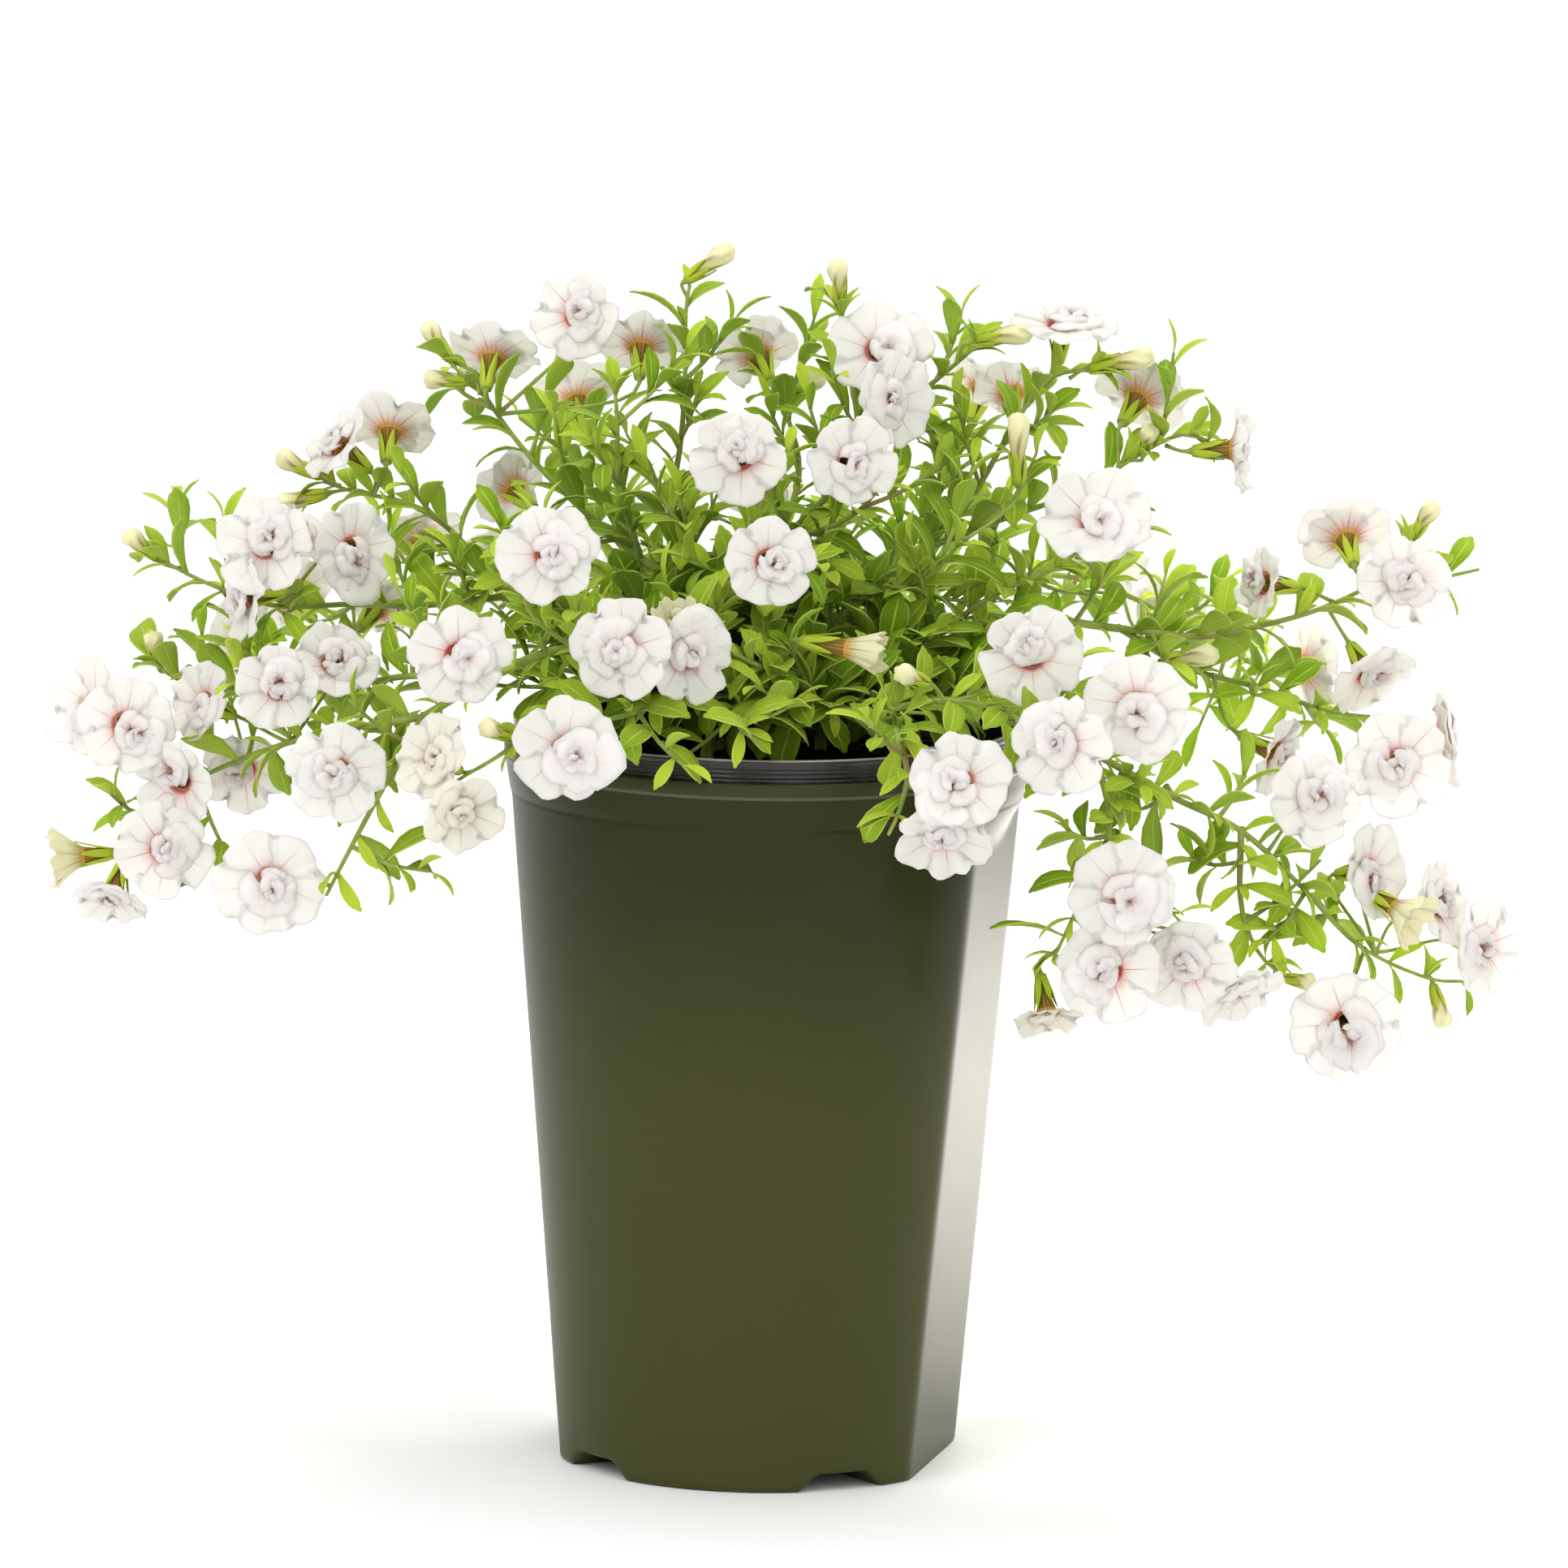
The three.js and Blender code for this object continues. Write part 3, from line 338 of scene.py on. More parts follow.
# ---- The stems -----------------------------------------------------------------------------------
# Eight rooted cuttings, each in a hole of its own in the mix. Their thin green stems fork and
# trail, and are a little sticky with short hairs. x runs to the right, y to the back, z up, in mm,
# and the whole plant is then turned a little in its pot.
PLANT_TURN = Matrix.Rotation(math.radians(14), 4, "Z")
PLANTS = {
    "stem_left_low": ((-14, -8), [
        [(-20, -18, 224), (-38, -28, 233), (-59, -40, 238), (-79, -50, 231), (-97, -50, 220)],
        [(-97, -50, 220), (-125, -38, 213), (-148, -22, 203), (-167, -20, 193), (-183, -17, 178)],
        [(-97, -50, 220), (-108, -62, 201), (-117, -66, 184), (-123, -68, 172)],
        [(-79, -50, 231), (-102, -34, 229), (-125, -18, 222),
         (-149, -4, 218), (-167, 0, 221), (-174, 0, 226)],
    ]),
    "stem_left_high": ((-16, 2), [
        [(-25, 2, 232), (-43, 4, 238), (-60, 5, 242), (-76, 5, 246)],
        [(-76, 5, 246), (-99, 0, 244), (-120, 0, 244),
         (-140, -5, 244), (-159, -5, 250), (-175, 0, 257)],
        [(-76, 5, 246), (-90, 16, 262), (-104, 22, 270), (-118, 27, 272), (-128, 28, 275)],
        [(-60, 5, 242), (-70, -14, 256), (-76, -22, 270)],
    ]),
    "stem_top_left": ((-9, 9), [
        [(-18, 12, 233), (-27, 14, 249), (-37, 15, 256)],
        [(-37, 15, 256), (-53, 22, 268), (-70, 28, 284),
         (-82, 30, 300), (-84, 32, 306), (-93, 32, 310)],
        [(-37, 15, 256), (-43, 5, 278), (-44, 4, 297), (-45, 4, 309)],
        [(-27, 14, 249), (-29, 22, 266), (-26, 24, 289),
         (-25, 22, 309), (-25, 22, 326), (-24, 22, 334)],
        [(-27, 14, 249), (-24, -4, 266), (-26, -14, 280)],
    ]),
    "stem_top": ((0, 7), [
        [(-3, 12, 231), (-3, 14, 244), (2, 20, 260)],
        [(2, 20, 260), (8, 32, 279), (3, 42, 297), (-3, 46, 306)],
        [(2, 20, 260), (18, 14, 278), (24, 10, 297), (21, 10, 315), (19, 12, 329)],
        [(24, 10, 297), (40, 13, 304), (52, 10, 314), (57, 6, 319)],
        [(-3, 14, 244), (-2, -25, 260), (-6, -34, 273), (-8, -30, 285)],
        [(2, 20, 260), (22, -8, 272), (34, -18, 286)],
    ]),
    "stem_top_right": ((9, 9), [
        [(12, 12, 231), (24, 14, 244), (42, 15, 259)],
        [(42, 15, 259), (56, 16, 273), (68, 16, 294), (78, 14, 309), (91, 12, 313)],
        [(42, 15, 259), (67, 16, 269), (88, 15, 277), (104, 12, 288), (116, 6, 295), (124, 2, 294)],
        [(24, 14, 244), (44, -14, 256), (54, -22, 268)],
    ]),
    "stem_right": ((15, -3), [
        [(21, 2, 226), (42, 0, 233), (72, 0, 242), (100, 0, 240)],
        [(100, 0, 240), (123, 0, 238), (141, 4, 241), (158, 6, 246), (174, 10, 254), (184, 10, 266)],
        [(100, 0, 240), (119, 7, 228), (140, 9, 222), (160, 0, 217), (174, -10, 217)],
        [(42, 0, 233), (62, -12, 250), (80, -20, 260), (88, -22, 266)],
        [(21, 2, 226), (42, -24, 224), (69, -42, 219), (92, -55, 213)],
        [(92, -55, 213), (115, -45, 199), (134, -40, 189),
         (151, -36, 173), (168, -30, 155), (188, -26, 145), (200, -20, 143)],
        [(134, -40, 189), (134, -48, 170), (139, -48, 156), (147, -46, 148)],
        [(92, -55, 213), (96, -68, 195), (89, -76, 177), (81, -74, 158)],
    ]),
    "stem_front": ((0, -13), [
        [(2, -24, 220), (14, -44, 224), (26, -60, 224), (36, -78, 222)],
        [(36, -78, 222), (39, -90, 213), (37, -94, 203), (34, -94, 196)],
        [(26, -60, 224), (51, -70, 230), (71, -84, 227), (87, -92, 215)],
        [(14, -44, 224), (9, -44, 234), (6, -52, 242)],
        [(2, -24, 220), (-20, -42, 226), (-42, -76, 225), (-60, -86, 223), (-70, -88, 219)],
        [(2, -24, 220), (-8, -48, 223), (-8, -70, 222), (-2, -82, 219)],
        [(-20, -42, 226), (-18, -50, 238), (-24, -55, 246)],
        [(-20, -42, 226), (-46, -60, 238), (-65, -64, 250), (-70, -64, 262)],
    ]),
    "stem_back": ((0, 20), [
        [(-6, 32, 230), (-26, 60, 240), (-42, 86, 238)],
        [(-42, 86, 238), (-75, 98, 236), (-108, 108, 224), (-135, 118, 212), (-150, 120, 202)],
        [(-42, 86, 238), (-46, 114, 230), (-40, 130, 214), (-34, 140, 198)],
        [(-26, 60, 240), (-42, 78, 262), (-52, 90, 280)],
        [(-6, 32, 230), (30, 60, 240), (50, 84, 238)],
        [(50, 84, 238), (84, 98, 240), (116, 106, 228), (142, 112, 212), (156, 116, 200)],
        [(50, 84, 238), (38, 118, 232), (32, 136, 216), (36, 146, 200)],
        [(30, 60, 240), (46, 78, 262), (56, 88, 282)],
        [(30, 60, 240), (6, 86, 250), (-2, 96, 256)],
    ]),
}
UP = Vector((0, 0, 1))


def random(n):
    """A number from 0 to 1 that looks drawn by chance and is the same on each run."""
    return math.sin(n * 12.9898 + 4.1414) * 43758.5453 % 1.0


class Route:
    """The middle line of a stem: a smooth curve through its points, thinner towards its end."""

    def __init__(self, points, thick, thin):
        p = [Vector(point) for point in points]
        self.points = [2 * p[0] - p[1], *p, 2 * p[-1] - p[-2]]
        self.thick, self.thin = thick, thin
        self.lengths = [0.0]
        last = self.on_curve(0)
        for i in range(1, 201):
            here = self.on_curve(i / 200)
            self.lengths.append(self.lengths[-1] + (here - last).length)
            last = here
        self.steps = max(1, int(self.lengths[-1] / 21 + 0.5))
        self.line = [self.smooth(i / self.steps) for i in range(self.steps + 1)]
        self.length = sum((b - a).length for a, b in zip(self.line, self.line[1:]))
        self.across = (self.line[-1] - self.line[0]).normalized().cross(UP)
        if self.across.length < 0.3:
            self.across = Vector((1, 0, 0))
        self.across.normalize()

    def on_curve(self, t):
        count = len(self.points) - 3
        i = min(int(t * count), count - 1)
        w = t * count - i
        before, a, b, after = self.points[i:i + 4]
        leave, arrive = (b - before) / 2, (after - a) / 2
        bend = 3 * (b - a) - 2 * leave - arrive
        skew = 2 * (a - b) + leave + arrive
        return a + w * leave + w * w * bend + w ** 3 * skew

    def smooth(self, u):
        """The point at a share u of the curve's length."""
        goal = u * self.lengths[-1]
        i = min(max(bisect.bisect_right(self.lengths, goal) - 1, 0), 199)
        return self.on_curve((i + (goal - self.lengths[i]) / (self.lengths[i + 1] - self.lengths[i])) / 200)

    def at(self, u):
        """The same on the straight steps between the curve's joints."""
        i = min(int(u * self.steps), self.steps - 1)
        return self.line[i].lerp(self.line[i + 1], u * self.steps - i)

    def nearest(self, point):
        return min((i / 40 for i in range(41)), key=lambda u: (self.at(u) - point).length)

    def directions(self, u):
        """Along the stem, across it, and square to both."""
        along = (self.at(min(u + 0.02, 1)) - self.at(max(u - 0.02, 0))).normalized()
        side = (self.across - along * self.across.dot(along)).normalized()
        return along, side, along.cross(side)


def stem_routes(plant):
    (x, y), routes = PLANTS[plant]
    made = [Route([(x, y, 208), *routes[0]], 1.65, 1.15)]
    for points in routes[1:]:
        start, ahead = Vector(points[0]), Vector(points[1])
        made.append(Route([start + (start - ahead).normalized() * 1.2, *points[1:]], 1.1, 0.5))
    return made


def branch_point(aim, routes, last):
    """The point of a plant's branches, as far along them as `last`, that is nearest to `aim`."""
    points = [route.at(min(max(route.nearest(aim), 0.08), last)) for route in routes[1:]]
    return min(points, key=lambda point: (point - aim).length)


def tube(line, radii, sides=7):
    """A round stem drawn through the points of a line, its ends rounded off."""
    bm = bmesh.new()
    ring = bmesh.ops.create_circle(bm, segments=sides, radius=1, cap_ends=True)["verts"]
    edges = bm.edges[:]
    steps = [(line[min(i + 1, len(line) - 1)] - line[max(i - 1, 0)]).normalized() for i in range(len(line))]
    turn = steps[0].to_track_quat("Z", "X").to_matrix().to_4x4()
    now = Matrix.Identity(4)
    for i, (point, radius) in enumerate(zip(line, radii)):
        if i:
            grown = bmesh.ops.extrude_edge_only(bm, edges=edges)["geom"]
            ring = [part for part in grown if isinstance(part, bmesh.types.BMVert)]
            fresh = set(ring)
            edges = [part for part in grown if isinstance(part, bmesh.types.BMEdge)
                     and part.verts[0] in fresh and part.verts[1] in fresh]
            turn = steps[i - 1].rotation_difference(steps[i]).to_matrix().to_4x4() @ turn
        goal = Matrix.Translation(point) @ turn @ Matrix.Scale(radius, 4)
        bmesh.ops.transform(bm, matrix=goal @ now.inverted(), verts=ring)
        now = goal
    bmesh.ops.contextual_create(bm, geom=edges)
    bmesh.ops.recalc_face_normals(bm, faces=bm.faces)
    return bm


def painted(bm, material):
    for face in bm.faces:
        face.material_index = material
        face.smooth = True
    return as_mesh(bm)


def add(whole, mesh, matrix=None):
    """Adds a mesh to a piece in the making and clears it."""
    if matrix:
        mesh.transform(matrix)
    whole.from_mesh(mesh)
    bpy.data.meshes.remove(mesh)


hair = bmesh.new()
bmesh.ops.create_cone(hair, cap_ends=True, segments=3, radius1=0.045, radius2=0, depth=1.0,
                      matrix=Matrix.Translation((0, 0, 0.45)))
HAIR = as_mesh(hair)


def fur(whole, line, radii, apart, length, serial):
    """Short hairs that stand out all round the points of a line."""
    spun = 0
    for i in range(len(line) - 1):
        along = line[i + 1] - line[i]
        turn = along.to_track_quat("Z", "X").to_matrix().to_4x4()
        for k in range(int(along.length / apart + random(serial + i))):
            spun += 1
            share = random(serial + i + 0.37 * k)
            out = turn @ Matrix.Rotation(2.4 * (spun + serial), 4, "Z") @ Matrix.Rotation(1.35, 4, "Y")
            reach = length * (0.6 + 0.8 * random(serial + 1.7 * spun))
            root = Matrix.Translation(line[i].lerp(line[i + 1], share)) @ out
            root = root @ Matrix.Translation((0, 0, 0.8 * (radii[i] + (radii[i + 1] - radii[i]) * share)))
            add(whole, HAIR.copy(), root @ Matrix.Diagonal((1, 1, reach, 1)))


def draw_stems(whole, routes, hole):
    foot = [Vector((*hole, z)) for z in (190, 196, 202, 208)]
    add(whole, painted(tube(foot, [1.7, 1.75, 1.75, 1.7], 9), 0))
    for route in routes:
        count = max(4, round(route.length / 4))
        line = [route.smooth(i / count) for i in range(count + 1)]
        radii = [route.thick + (route.thin - route.thick) * i / count for i in range(count + 1)]
        line.append(line[-1] + (line[-1] - line[-2]).normalized() * radii[-1] * 0.5)
        radii.append(radii[-1] * 0.3)
        add(whole, painted(tube(line, radii, 8 if route is routes[0] else 7), 0))
        fur(whole, line, radii, 0.55, 0.7, len(line))


def stem_green():
    finish = Finish("stem_green")
    tone = finish.mix(finish.grain(120).between(0.3, 0.7), (0.200, 0.290, 0.040), (0.360, 0.430, 0.090))
    tone = finish.mix(finish.grain(45, 2).between(0.56, 0.74), tone, (0.290, 0.240, 0.070))
    finish.relief(finish.grain(2500, 2), 0.00008)
    return finish.done(tone, 0.6, 0.2, {"Sheen Weight": 0.1})


# ---- The leaves ----------------------------------------------------------------------------------
# Soft, narrow, blunt leaves without stalks, widest past their middle, arched back and folded a
# little along the midrib. They come singly up each stem, with a tuft of young ones in the axil.
LEAF = 18  # the length that every leaf is drawn at
TILT = 0.3  # how steeply it leaves its stem, in radians
SOLID_WIDTH = 6.4  # how wide the leaves of the plant's solid are at that length
LEAF_TURN = 137.5  # degrees round the stem from one leaf to the next
LEAF_STEP = 11.8  # mm up the stem from one leaf to the next
BARE_FOOT = 46.2  # how far up its own stem a plant's solid has its first leaf
SEEDS_EACH = 1000  # the random numbers set aside for each plant


def blank(*names):
    """An empty mesh, and the measures that its corners are to carry for the materials."""
    bm = bmesh.new()
    return bm, *(bm.verts.layers.float_vector.new(name) for name in names)


def turn_faces(bm, axis):
    """Makes the faces of an open sheet look along an axis."""
    bmesh.ops.recalc_face_normals(bm, faces=bm.faces)
    if sum(face.normal[axis] for face in bm.faces) < 0:
        bmesh.ops.reverse_faces(bm, faces=bm.faces)


def blade_mesh(bend, fold, twist, wave, width, tone, widest=0.62):
    """One leaf from a point at the origin along +y, its upper face to +z."""
    bm, mark = blank("blade")
    bmesh.ops.create_grid(bm, x_segments=4, y_segments=6, size=1)
    for v in bm.verts:
        across, t = v.co.x, (v.co.y + 1) / 2
        t = 1 - (1 - t) ** 1.25
        v[mark] = (across, t, tone)
        if t < widest:
            half = 0.15 + 0.85 * math.sin(0.5 * math.pi * t / widest) ** 1.4
        else:
            half = 1 - 0.62 * ((t - widest) / (1 - widest)) ** 2.3
        half *= width / 2
        t *= 1 - 0.10 * across * across * t ** 6
        forward = LEAF / bend * (math.sin(TILT) - math.sin(TILT - bend * t))
        rise = LEAF / bend * (math.cos(TILT - bend * t) - math.cos(TILT))
        x = across * half * math.cos(fold * abs(across))
        up = abs(across) * half * math.sin(fold) + wave * across * across * math.sin(7 * t + across)
        v.co = (x * math.cos(twist * t) - up * math.sin(twist * t), forward,
                rise + x * math.sin(twist * t) + up * math.cos(twist * t))
    turn_faces(bm, 2)
    upper = set(bm.verts)
    bmesh.ops.solidify(bm, geom=bm.faces[:], thickness=0.32)
    for v in bm.verts:
        if v not in upper:
            v[mark] = (v[mark].x, -v[mark].y - 0.001, tone)
    return painted(bm, 1)


def leaf_set(count, first, widest, *ranges):
    """A few unlike leaves. Each range is a measure's least value and what a draw may add to it."""
    leaves = []
    for i in range(count):
        draws = [random(i + (first + 2 * k) / 10) for k in range(len(ranges))]
        measures = [least + more * draw for (least, more), draw in zip(ranges, draws)]
        leaves.append(blade_mesh(*measures, widest))
    return leaves


# the ranges are those of the bend, the fold, the twist, the wave, the width and the tone
LEAVES = leaf_set(12, 3, 0.62, (0.7, 0.6), (0.10, 0.25), (-0.35, 0.7), (0, 0.3), (5.8, 1.6), (0.1, 0.5))
YOUNG = leaf_set(6, 73, 0.56, (0.5, 0.5), (0.25, 0.3), (-0.2, 0.4), (0.1, 0), (5.2, 1.1), (0.5, 0.45))
DEEP = leaf_set(8, 113, 0.62, (0.5, 0.5), (0.08, 0.2), (-0.3, 0.6), (0, 0.3), (7.0, 1.4), (0, 0.22))


def leaf_place(root, out, face, length):
    side = out.cross(face).normalized()
    axes = Matrix((side, out, face)).transposed().to_4x4()
    return Matrix.Translation(root) @ axes @ Matrix.Scale(length / LEAF, 4)


def leaf_tip(root, out, face, length):
    """Where a leaf of middling bend, 0.9, ends."""
    forward, rise = (math.sin(TILT) + math.sin(0.6)) / 0.9, (math.cos(0.6) - math.cos(TILT)) / 0.9
    return root + out * forward * length + face * rise * length


# Each bloom keeps the leaves out of the room before its face and round its tube. A bloom is the
# middle of its face (x, y, z), its heading from the front, its lift, both in degrees, and its width.
SPRAYS = {
    "bloom_crest_left": ("stem_top_left", (-80, 36, 313, 170, 45, 26), (-57, 22, 325, -18, 12, 25),
        (-38, 32, 317, 180, 42, 24)),
    "bloom_crest_back": ("stem_top", (-5, 50, 312, -160, 32, 24)),
    "bloom_crest_right": ("stem_top", (30, 2, 320, 5, 38, 30), (35, -14, 307, 42, 8, 27)),
    "bloom_top_right": ("stem_top_right", (82, 10, 328, 10, 72, 30)),
    "bloom_shoulder_right": ("stem_top_right", (106, 30, 304, 150, 32, 28)),
    "bloom_side_right": ("stem_top_right", (134, 0, 292, 82, 4, 25)),
    "bloom_hidden_right": ("stem_top_right", (68, 44, 303, -170, 40, 22)),
    "bloom_upper_middle": ("stem_top", (-9, -50, 295, -10, 5, 27)),
    "bloom_upper_near": ("stem_top", (23, -40, 293, 20, 14, 25)),
    "bloom_shoulder_left": ("stem_left_high", (-109, 30, 292, 175, 42, 26), (-125, 16, 289, -65, 40, 24)),
    "bloom_hidden_left": ("stem_top_left", (-76, 60, 270, -145, 20, 24)),
    "bloom_middle_left": ("stem_front", (-62, -80, 271, -5, 6, 28)),
    "bloom_middle": ("stem_top", (0, -72, 269, 10, 8, 25)),
    "bloom_middle_right": ("stem_right", (91, -38, 278, -5, 38, 31)),
    "bloom_high_right": ("stem_right", (163, 6, 268, -168, 32, 27), (179, -15, 257, 5, 5, 27)),
    "bloom_hanging_right": ("stem_right", (172, -8, 227, 35, -38, 26)),
    "bloom_far_right": ("stem_right", (178, -40, 209, 0, 8, 30), (193, -24, 213, 98, 8, 27)),
    "bloom_cluster_left": ("stem_left_high", (-143, -28, 265, -15, 14, 28), (-132, -8, 266, 55, 48, 24),
        (-150, -25, 250, -62, 0, 26), (-117, -12, 262, 32, 12, 25)),
    "bloom_small_left": ("stem_left_high", (-112, 26, 240, 160, 20, 20)),
    "bloom_inner_left": ("stem_left_low", (-86, -90, 244, 0, 5, 28)),
    "bloom_outer_left": ("stem_left_low", (-122, -36, 234, 12, 38, 24), (-138, -50, 228, -8, 10, 24),
        (-162, -26, 220, -50, 22, 23)),
    "bloom_pair_front": ("stem_front", (-41, -88, 246, -8, 6, 28), (-22, -76, 242, 28, 0, 26),
        (-26, -68, 252, -10, 52, 13)),
    "bloom_inner_right": ("stem_right", (73, -85, 245, 0, 8, 28)),
    "bloom_pair_right": ("stem_front", (102, -100, 234, -6, 2, 29), (81, -110, 224, -12, -4, 28)),
    "bloom_rim_left": ("stem_front", (-56, -105, 220, -3, -4, 29)),
    "bloom_low_left": ("stem_left_low", (-120, -80, 209, 0, 2, 28)),
    "bloom_cream_left": ("stem_front", (-94, -96, 217, -38, 24, 24), (-84, -102, 201, 15, -16, 23)),
    "bloom_far_left": ("stem_left_low", (-193, -28, 218, -42, 14, 27), (-181, -42, 215, 6, 2, 27),
        (-167, -42, 199, -30, -5, 25)),
    "bloom_trailing_left": ("stem_left_low", (-170, -45, 180, 0, 0, 28), (-185, -36, 163, -18, -48, 22)),
    "bloom_lowest_left": ("stem_left_low", (-139, -72, 176, 0, -6, 31)),
    "bloom_funnel_left": ("stem_left_low", (-200, -12, 172, -84, -4, 17)),
    "bloom_over_rim": ("stem_front", (54, -112, 215, 6, 22, 27), (49, -106, 196, -5, -32, 27)),
    "bloom_outer_right": ("stem_right", (154, -50, 200, 10, 12, 26)),
    "bloom_low_right": ("stem_right", (99, -98, 181, 0, 0, 29), (96, -94, 158, 0, -2, 29),
        (118, -82, 157, -8, -8, 27), (134, -70, 146, 40, -45, 26)),
    "bloom_lowest_right": ("stem_right", (164, -60, 137, 0, -6, 31)),
    "bloom_trailing_right": ("stem_right", (173, -32, 177, 50, 12, 27), (193, -22, 166, 60, 22, 25),
        (206, -22, 153, 42, 0, 27), (182, -40, 165, 55, -22, 17)),
    "bloom_cream_right": ("stem_right", (80, -66, 138, 18, -58, 19)),
    "bloom_behind_right": ("stem_right", (146, -16, 206, 60, -22, 23)),
    "bloom_between_right": ("stem_right", (138, 0, 254, -60, 10, 20)),
    "bloom_behind_left": ("stem_left_low", (-149, -8, 196, 5, -22, 24)),
    "bloom_half_open": ("stem_front", (23, -62, 243, 76, -6, 12)),
    "bloom_back_left": ("stem_back", (-158, 122, 214, -125, 5, 27), (-142, 136, 226, -145, 25, 28)),
    "bloom_back_left_high": ("stem_back", (-104, 122, 246, -155, 45, 27), (-80, 130, 236, -172, 22, 28)),
    "bloom_back_low": ("stem_back", (-50, 164, 206, -172, -8, 29), (-38, 160, 226, 175, 22, 28)),
    "bloom_back_crest_left": ("stem_back", (-58, 106, 292, -160, 50, 27)),
    "bloom_back_crest_right": ("stem_back", (62, 104, 296, 155, 48, 27)),
    "bloom_back_middle": ("stem_back", (28, 168, 212, 172, -5, 28), (12, 160, 231, 178, 30, 27)),
    "bloom_back_right": ("stem_back", (98, 118, 244, 150, 30, 28), (118, 124, 226, 140, 10, 27)),
    "bloom_back_far_right": ("stem_back", (160, 122, 210, 120, 0, 28)),
    "bloom_back_inner": ("stem_back", (-4, 110, 264, 178, 40, 26)),
}
BLOOMS = [(name, *bloom) for name, (plant, *blooms) in SPRAYS.items() for bloom in blooms]
TUBE = 13.5  # how far the foot of a bloom lies behind the middle of its face


def heading(round_about, lift):
    a, e = math.radians(round_about), math.radians(lift)
    return Vector((math.sin(a) * math.cos(e), -math.cos(a) * math.cos(e), math.sin(e)))


FACES = [(Vector((x, y, z)), heading(*turn), width / 2) for name, x, y, z, *turn, width in BLOOMS]


def in_the_way(point, margin=1.0):
    """Whether a point lies before a bloom, against its tube, in the pot, or too far out."""
    x, y, z = point
    if z < 214 and math.hypot(x, y) < 77 and not (z > 204 and math.hypot(x, y) < 68):
        return True
    if z < 143 or z > 340 or x < -196 or x > 203:
        return True
    for centre, toward, radius in FACES:
        apart = point - centre
        ahead = apart.dot(toward)
        if not -14 < ahead < 34:
            continue
        wide = (apart - toward * ahead).length
        if ahead < -4:
            blocked = wide < 3.6 + 0.25 * max(0, ahead + 13)
        elif ahead < 14:
            blocked = wide < radius + margin
        else:
            blocked = wide < 0.75 * radius
        if blocked:
            return True
    return False


def try_leaf(whole, shapes, root, out, face, length, serial):
    """Sets a leaf where it covers no bloom."""
    face = (face - out * face.dot(out)).normalized()
    middle = root + out * length * 0.6 + face * length * 0.03
    if not in_the_way(leaf_tip(root, out, face, length)) and not in_the_way(middle):
        add(whole, shapes[serial % len(shapes)].copy(), leaf_place(root, out, face, length))


def around(directions, spin, reach, forward, lift=0.35):
    """A heading at a turn about a stem, leaning forward along it and up."""
    along, side, front = directions
    lateral = side * math.cos(spin) + front * math.sin(spin)
    lateral.z += lift
    return (lateral.normalized() * reach + along * forward).normalized()


def solid_corners(plant):
    """The corners of the plant's own solid, set upright, to find the leaves that it has."""
    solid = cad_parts[plant].data.vertices
    upright = PLANT_TURN.inverted() @ Matrix.Scale(1000, 4)
    corners = kdtree.KDTree(len(solid))
    for i, v in enumerate(solid):
        corners.insert(upright @ v.co, i)
    corners.balance()
    return corners


def grow_crown(whole, serial, route):
    """Broad dark leaves in pairs up the foot of a stem."""
    s = 9
    while s < BARE_FOOT - 2:
        n = serial + 0.013 * s
        u = s / route.length
        ways = route.directions(u)
        for i in range(2):
            spin = 2.4 * s + 3.1 * i + random(n + i)
            way = around(ways, spin, 1, 0.15, 0.55 * random(n + i + 0.5))
            length = 20 + 7 * random(n + i + 0.7)
            try_leaf(whole, DEEP, route.smooth(u), way, UP + ways[0] * 0.2, length, int(s) + i)
        s += 4.5


def grow_leaves(whole, plant, routes):
    """A leaf where the plant's solid has one, a tuft in its axil, and one more past it."""
    corners = solid_corners(plant)
    serial = SEEDS_EACH * list(PLANTS).index(plant)
    airy = "top" in plant or "high" in plant
    grow_crown(whole, serial, routes[0])
    for order, route in enumerate(routes):
        s = BARE_FOOT if order == 0 else 5
        while s < route.length:
            serial += 1
            u = s / route.length
            ways = route.directions(u)
            tip = route.length - s < 12 and order > 0
            length = LEAF * (0.62 if tip else 0.85 + 0.35 * random(serial))
            face = ways[0] * 0.5 + Vector((0, 0, 0.7))
            root = route.smooth(u)
            found = False
            for attempt in range(5):
                spin = math.radians(serial * LEAF_TURN + attempt * 62)
                way = around(ways, spin, 0.6 if tip else 1, 0.55)
                up = (face - way * face.dot(way)).normalized()
                end = leaf_tip(route.at(u), way, up, length)
                if corners.find(end)[2] < 0.2 * SOLID_WIDTH * length / LEAF + 0.15:
                    found = True
                    add(whole, LEAVES[serial % len(LEAVES)].copy(), leaf_place(root, way, up, length))
                    break
            for i in range(4 if tip else (1 if airy else 2) + (not found)):
                n = serial + 0.17 * (i + 1)
                spin = math.radians(serial * LEAF_TURN + 40 + 105 * i + 50 * random(n))
                way = around(ways, spin, 0.7 + 0.3 * random(n + 3), 0.8)
                try_leaf(whole, YOUNG, root, way, face, 8 + 6 * random(n + 5), serial + i)
            n = serial + 0.91
            if order and random(n) < 0.9:
                way = around(ways, math.radians(serial * LEAF_TURN + 200), 1, 0.5)
                later = route.smooth(min(u + 5.9 / route.length, 1))
                length = (14 if airy else 16) + 7 * random(n + 1)
                try_leaf(whole, LEAVES, later, way, face, length, serial)
            s += LEAF_STEP


